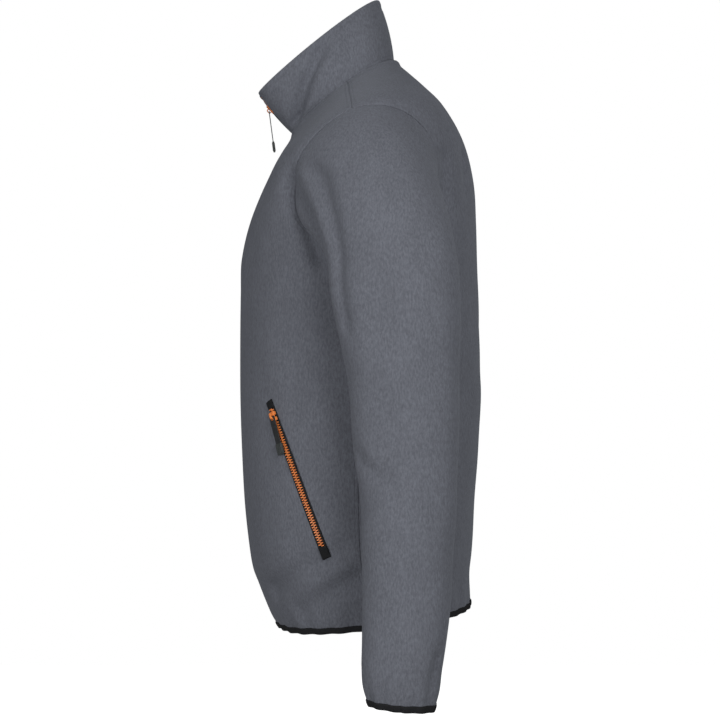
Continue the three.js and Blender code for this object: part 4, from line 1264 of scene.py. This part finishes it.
FLEECE_LOOK = fleece_material()
BINDING_LOOK = woven_material("elastic_binding", 0.008, 0.022, 1.3, 0.85)
TAPE_LOOK = woven_material("woven_tape", 0.006, 0.016, 1.0, 0.75)
TEETH_LOOK = moulded_material("orange_teeth", (0.95, 0.3, 0.08), (0.88, 0.25, 0.065), 0.42, 0.00004)
SLIDER_LOOK = moulded_material("orange_slider", (0.93, 0.28, 0.065), (0.85, 0.23, 0.055), 0.36, 0.00003)
STRAP_LOOK = moulded_material("black_strap", (0.012, 0.013, 0.014), (0.022, 0.023, 0.025), 0.55, 0.00008)
GRIP_LOOK = moulded_material("grey_grip", (0.03, 0.035, 0.034), (0.042, 0.048, 0.046), 0.6, 0.00006)
THREAD_LOOK = moulded_material("sewing_thread", (0.075, 0.08, 0.095), (0.1, 0.106, 0.125), 0.8, 0.00005)


def keep(obj, slot, body, *nodes):
    """Attaches a piece to its body and hides the solids that it stands for. The slot is not used."""
    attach(obj, body)
    if nodes:
        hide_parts(*nodes)
    return obj


def keep_cloth(piece, solid):
    keep(piece, "fleece", "jacket", solid)


def keep_elastic(name, solid, lines, ringed):
    """Makes the elastic binding round an edge; lines are that edge and the one above, both sides."""
    piece = binding(name, *lines, BINDING_LOOK, ringed)
    keep(piece, "binding", "jacket", solid)


def body_cloth():
    left = front_panel("cloth_front_left", 1, FLEECE_LOOK)
    right = front_panel("cloth_front_right", -1, FLEECE_LOOK)
    back = back_panel("cloth_back", FLEECE_LOOK)
    keep_cloth(left[0], "front_left")
    keep_cloth(right[0], "front_right")
    keep_cloth(back[0], "back")
    lines = []
    for (_, outer, inner, rows), turn in ((left, 1), (back, 1), (right, -1)):
        lines.append([line[::turn] for line in binding_lines(outer, inner, rows, 0, BINDING_ROWS)])
    hem = [np.concatenate(group) for group in zip(*lines)]
    keep_elastic("hem_elastic", "hem_binding", hem, False)


def sleeves():
    for side, word in ((1, "left"), (-1, "right")):
        name = "sleeve_" + word
        piece, outer, inner, rows = sleeve_piece("cloth_" + name, side, FLEECE_LOOK)
        keep_cloth(piece, name)
        lines = binding_lines(outer, inner, rows, -1, SLEEVE_END - CUFF_ROWS)
        keep_elastic("cuff_elastic_" + word, "cuff_binding_" + word, lines, True)


def collar_cloth():
    keep_cloth(collar_piece("cloth_collar", FLEECE_LOOK), "collar")
    t = np.linspace(0.2, 2 * math.pi - 0.2, 400)
    h = np.full(t.shape, 1 - COLLAR_STITCH_DOWN / COLLAR_HEIGHT)
    paths = [(collar(h, t), collar_normal(h, t))]
    keep(stitches("collar_stitches", paths, -0.55, 0.45, THREAD_LOOK), "fleece", "jacket")


def front_zip():
    for side, word in ((1, "left"), (-1, "right")):
        tape = zip_tape("front_tape_" + word, side, TAPE_LOOK)
        keep(tape, "zip_tape", "jacket", "zip_tape_" + word)
        teeth = front_teeth("front_teeth_" + word, side, TEETH_LOOK)
        keep(teeth, "zip_teeth", "jacket", "zip_teeth_" + word)
    low, high = (chain_frame(h) for h in SLIDER_SPAN)
    up = unit(high[0] - low[0])
    across = low[1] + high[1]
    across = unit(across - up * dot(across, up))
    out = np.cross(across, up)
    top = (low[0] + high[0]) / 2 + out * (TOOTH_THICK / 2 + 0.6)
    piece = slider("front_zip_slider", top, across, up, out, 3.35, TOOTH_THICK / 2 - 0.5, SLIDER_LOOK)
    keep(piece, "slider", "jacket", "front_slider")
    pivot = top + out * PIVOT_RISE
    down = vec(0, math.sin(FRONT_PULL_ANGLE), -math.cos(FRONT_PULL_ANGLE))
    hang = unit(down - across * dot(down, across))
    face = np.cross(across, hang)
    names = ("front_strap", "front_grip")
    strap, grip = pull(names, FRONT_PULL, pivot, across, hang, face, STRAP_LOOK, GRIP_LOOK)
    keep(strap, "pull", "front_pull", "front_pull_tab")
    keep(grip, "grip", "front_pull", "front_pull_grip")
    front_zip_box()


def front_zip_box():
    mid, across, _, _, _, row = chain_path()

    def at(place, grid):
        return np.array([np.interp(place, row, grid[:, k]) for k in range(3)])

    up = unit(at(0.9, mid) - mid[0])
    side = at(0.62, across)
    side = unit(side - up * dot(side, up))
    face = np.cross(side, up)
    block = plate([rounded_rectangle(-4.6, 4.6, -5, 4, 1.2)], TAPE / 2 + 0.3, TAPE / 2 + 2.6, 0.5)
    pin = plate([rounded_rectangle(-0.5, 0.5, -4.2, 3.2, 0.4)], TAPE / 2 + 2.3, TAPE / 2 + 2.9, 0.2)
    parts = [placed(part, at(0.62, mid), side, up, face) for part in (block, pin)]
    keep(joined("front_box", parts, STRAP_LOOK), "pull", "jacket", "zip_box")


def pocket_zip(side, word):
    face = LIE_GAP + POCKET_TAPE
    name = "pocket_band_" + word
    tape = pocket_strip(name, side, 0, POCKET_LONG, POCKET_HALF, LIE_GAP, face, 0, TAPE_LOOK)
    keep(tape, "zip_tape", "jacket", "pocket_tape_" + word)
    start = BAR_TOP_LONG + 0.5 + 0.6
    end = POCKET_LONG - BAR_END_LONG - 0.5 - 0.6
    teeth = pocket_teeth("pocket_chain_" + word, side, start, end, face, face + 1.7, TEETH_LOOK)
    keep(teeth, "zip_teeth", "jacket", "pocket_teeth_" + word)
    ends = (("top", 0, BAR_TOP_LONG), ("bottom", POCKET_LONG - BAR_END_LONG, POCKET_LONG))
    for place, low, high in ends:
        bar_name = "pocket_stop_" + place + "_" + word
        bar = pocket_strip(bar_name, side, low, high, POCKET_HALF, face, face + 1.1, 0.5, TAPE_LOOK)
        keep(bar, "zip_tape", "jacket", "pocket_bar_" + place + "_" + word)
    pocket_slider_and_pull(side, word, face + 1.5)
    paths = []
    for x in (-POCKET_HALF + 1.1, POCKET_HALF - 1.1):
        s = np.linspace(2, POCKET_LONG - 2, 160)
        ones = np.ones(len(s))
        low = pocket_point(side, s, x * ones, face * ones)
        paths.append((low, pocket_point(side, s, x * ones, (face + 1) * ones) - low))
    thread = stitches("pocket_stitches_" + word, paths, 0.1, 0.4, STRAP_LOOK)
    keep(thread, "zip_tape", "jacket")


def pocket_slider_and_pull(side, word, teeth_top):
    def spot(s, lift):
        return pocket_point(side, np.array([s]), np.zeros(1), np.array([lift]))[0]

    centre = spot(SLIDER_FROM_TOP, teeth_top + 0.35)
    above = spot(SLIDER_FROM_TOP - 6, teeth_top + 0.35)
    below = spot(SLIDER_FROM_TOP + 6, teeth_top + 0.35)
    on_cloth = spot(SLIDER_FROM_TOP, 0)
    up = unit(above - below)
    across = unit(np.cross(up, unit(centre - on_cloth)))
    out = np.cross(across, up)
    name = "pocket_zip_slider_" + word
    body = slider(name, centre, across, up, out, POCKET_TOOTH_HALF + 0.35, 1.5, SLIDER_LOOK)
    keep(body, "slider", "jacket", "pocket_slider_" + word)
    pivot = centre + out * PIVOT_RISE
    lean = turned(-up, out, -side * PULL_LEAN)
    size = POCKET_PULL
    reach = pivot + lean * size["end"] - out * np.linalg.norm(pivot - on_cloth)
    v, t = panel_place(side, np.array([reach[1]]), np.array([reach[2]]))
    touch = (torso(v, t) + torso_normal(v, t) * (size["grip_thick"] / 2 + 3.6))[0]
    hang = unit(touch - pivot)
    axis = turned(across, out, -side * PULL_LEAN)
    axis = unit(axis - hang * dot(axis, hang))
    names = ("pocket_strap_" + word, "pocket_handle_" + word)
    strap, grip = pull(names, size, pivot, axis, hang, np.cross(axis, hang), STRAP_LOOK, GRIP_LOOK)
    keep(strap, "pull", "pocket_pull_" + word, "pocket_pull_" + word)
    keep(grip, "grip", "pocket_pull_" + word, "pocket_grip_" + word)


def turned(v, axis, angle):
    """Vector v turned about a unit axis."""
    parallel = axis * dot(v, axis)
    return parallel + (v - parallel) * math.cos(angle) + np.cross(axis, v) * math.sin(angle)


# Studio: pale floor, white surround, soft key light from the camera's side, and the camera
CAMERA_PLACE = (2.430, 0.013, -0.331)
CAMERA_LENS = 99.6
AMBIENT = 0.14
LIGHT_AIM = (0.15, 0.0, -0.33)
# Name, place, size and power of each light
LIGHTS = (("key", (2.3, 0.9, 0.5), 1.3, 35), ("fill", (2.0, -1.3, -0.4), 1.2, 22))
FLOOR_HEIGHT = -0.95
FLOOR_SIZE = 3.2


def studio():
    half = FLOOR_SIZE / 2 / MM
    z = FLOOR_HEIGHT / MM
    look, tree, surface = new_material("floor_white", 0.9)
    inputs = {
        "Base Color": ranged(tree, noise(tree, 1, 40, 3.0), 0.3, 0.7, 0.8, 0.84, "LINEAR"),
        "Emission Color": (1, 1, 1, 1),
        "Emission Strength": 1.0,
    }
    set_inputs(tree, surface, inputs)
    corners = [(-half, -half, z), (half, -half, z), (half, half, z), (-half, half, z)]
    floor = mesh_object("floor", corners, [[0, 1, 2, 3]], look, crease=0)
    floor.visible_diffuse = False
    floor.visible_glossy = False
    world = bpy.data.worlds.new("studio")
    bpy.context.scene.world = world
    world.use_nodes = True
    tree = world.node_tree
    seen = node(tree, "ShaderNodeLightPath", {}, "Is Camera Ray")
    strength = ranged(tree, seen, 0.0, 1.0, AMBIENT, 1.0, "LINEAR")
    set_inputs(tree, tree.nodes["Background"], {"Color": (1, 1, 1, 1), "Strength": strength})
    for name, place, size, power in LIGHTS:
        data = bpy.data.lights.new(name, "AREA")
        data.shape = "DISK"
        data.size = size
        data.energy = power
        light = add_object(name, data)
        light.location = place
        aim = Vector(LIGHT_AIM) - Vector(place)
        light.rotation_euler = aim.to_track_quat("-Z", "Y").to_euler()


def camera():
    data = bpy.data.cameras.new("camera")
    data.lens = CAMERA_LENS
    data.sensor_width = 36
    data.clip_end = 50
    obj = add_object("camera", data)
    obj.location = CAMERA_PLACE
    obj.rotation_euler = (math.pi / 2, 0, math.pi / 2)
    bpy.context.scene.camera = obj


body_cloth()
sleeves()
collar_cloth()
front_zip()
for pocket_side, pocket_word in ((1, "left"), (-1, "right")):
    pocket_zip(pocket_side, pocket_word)
studio()
camera()
bpy.context.scene.view_settings.view_transform = "Standard"
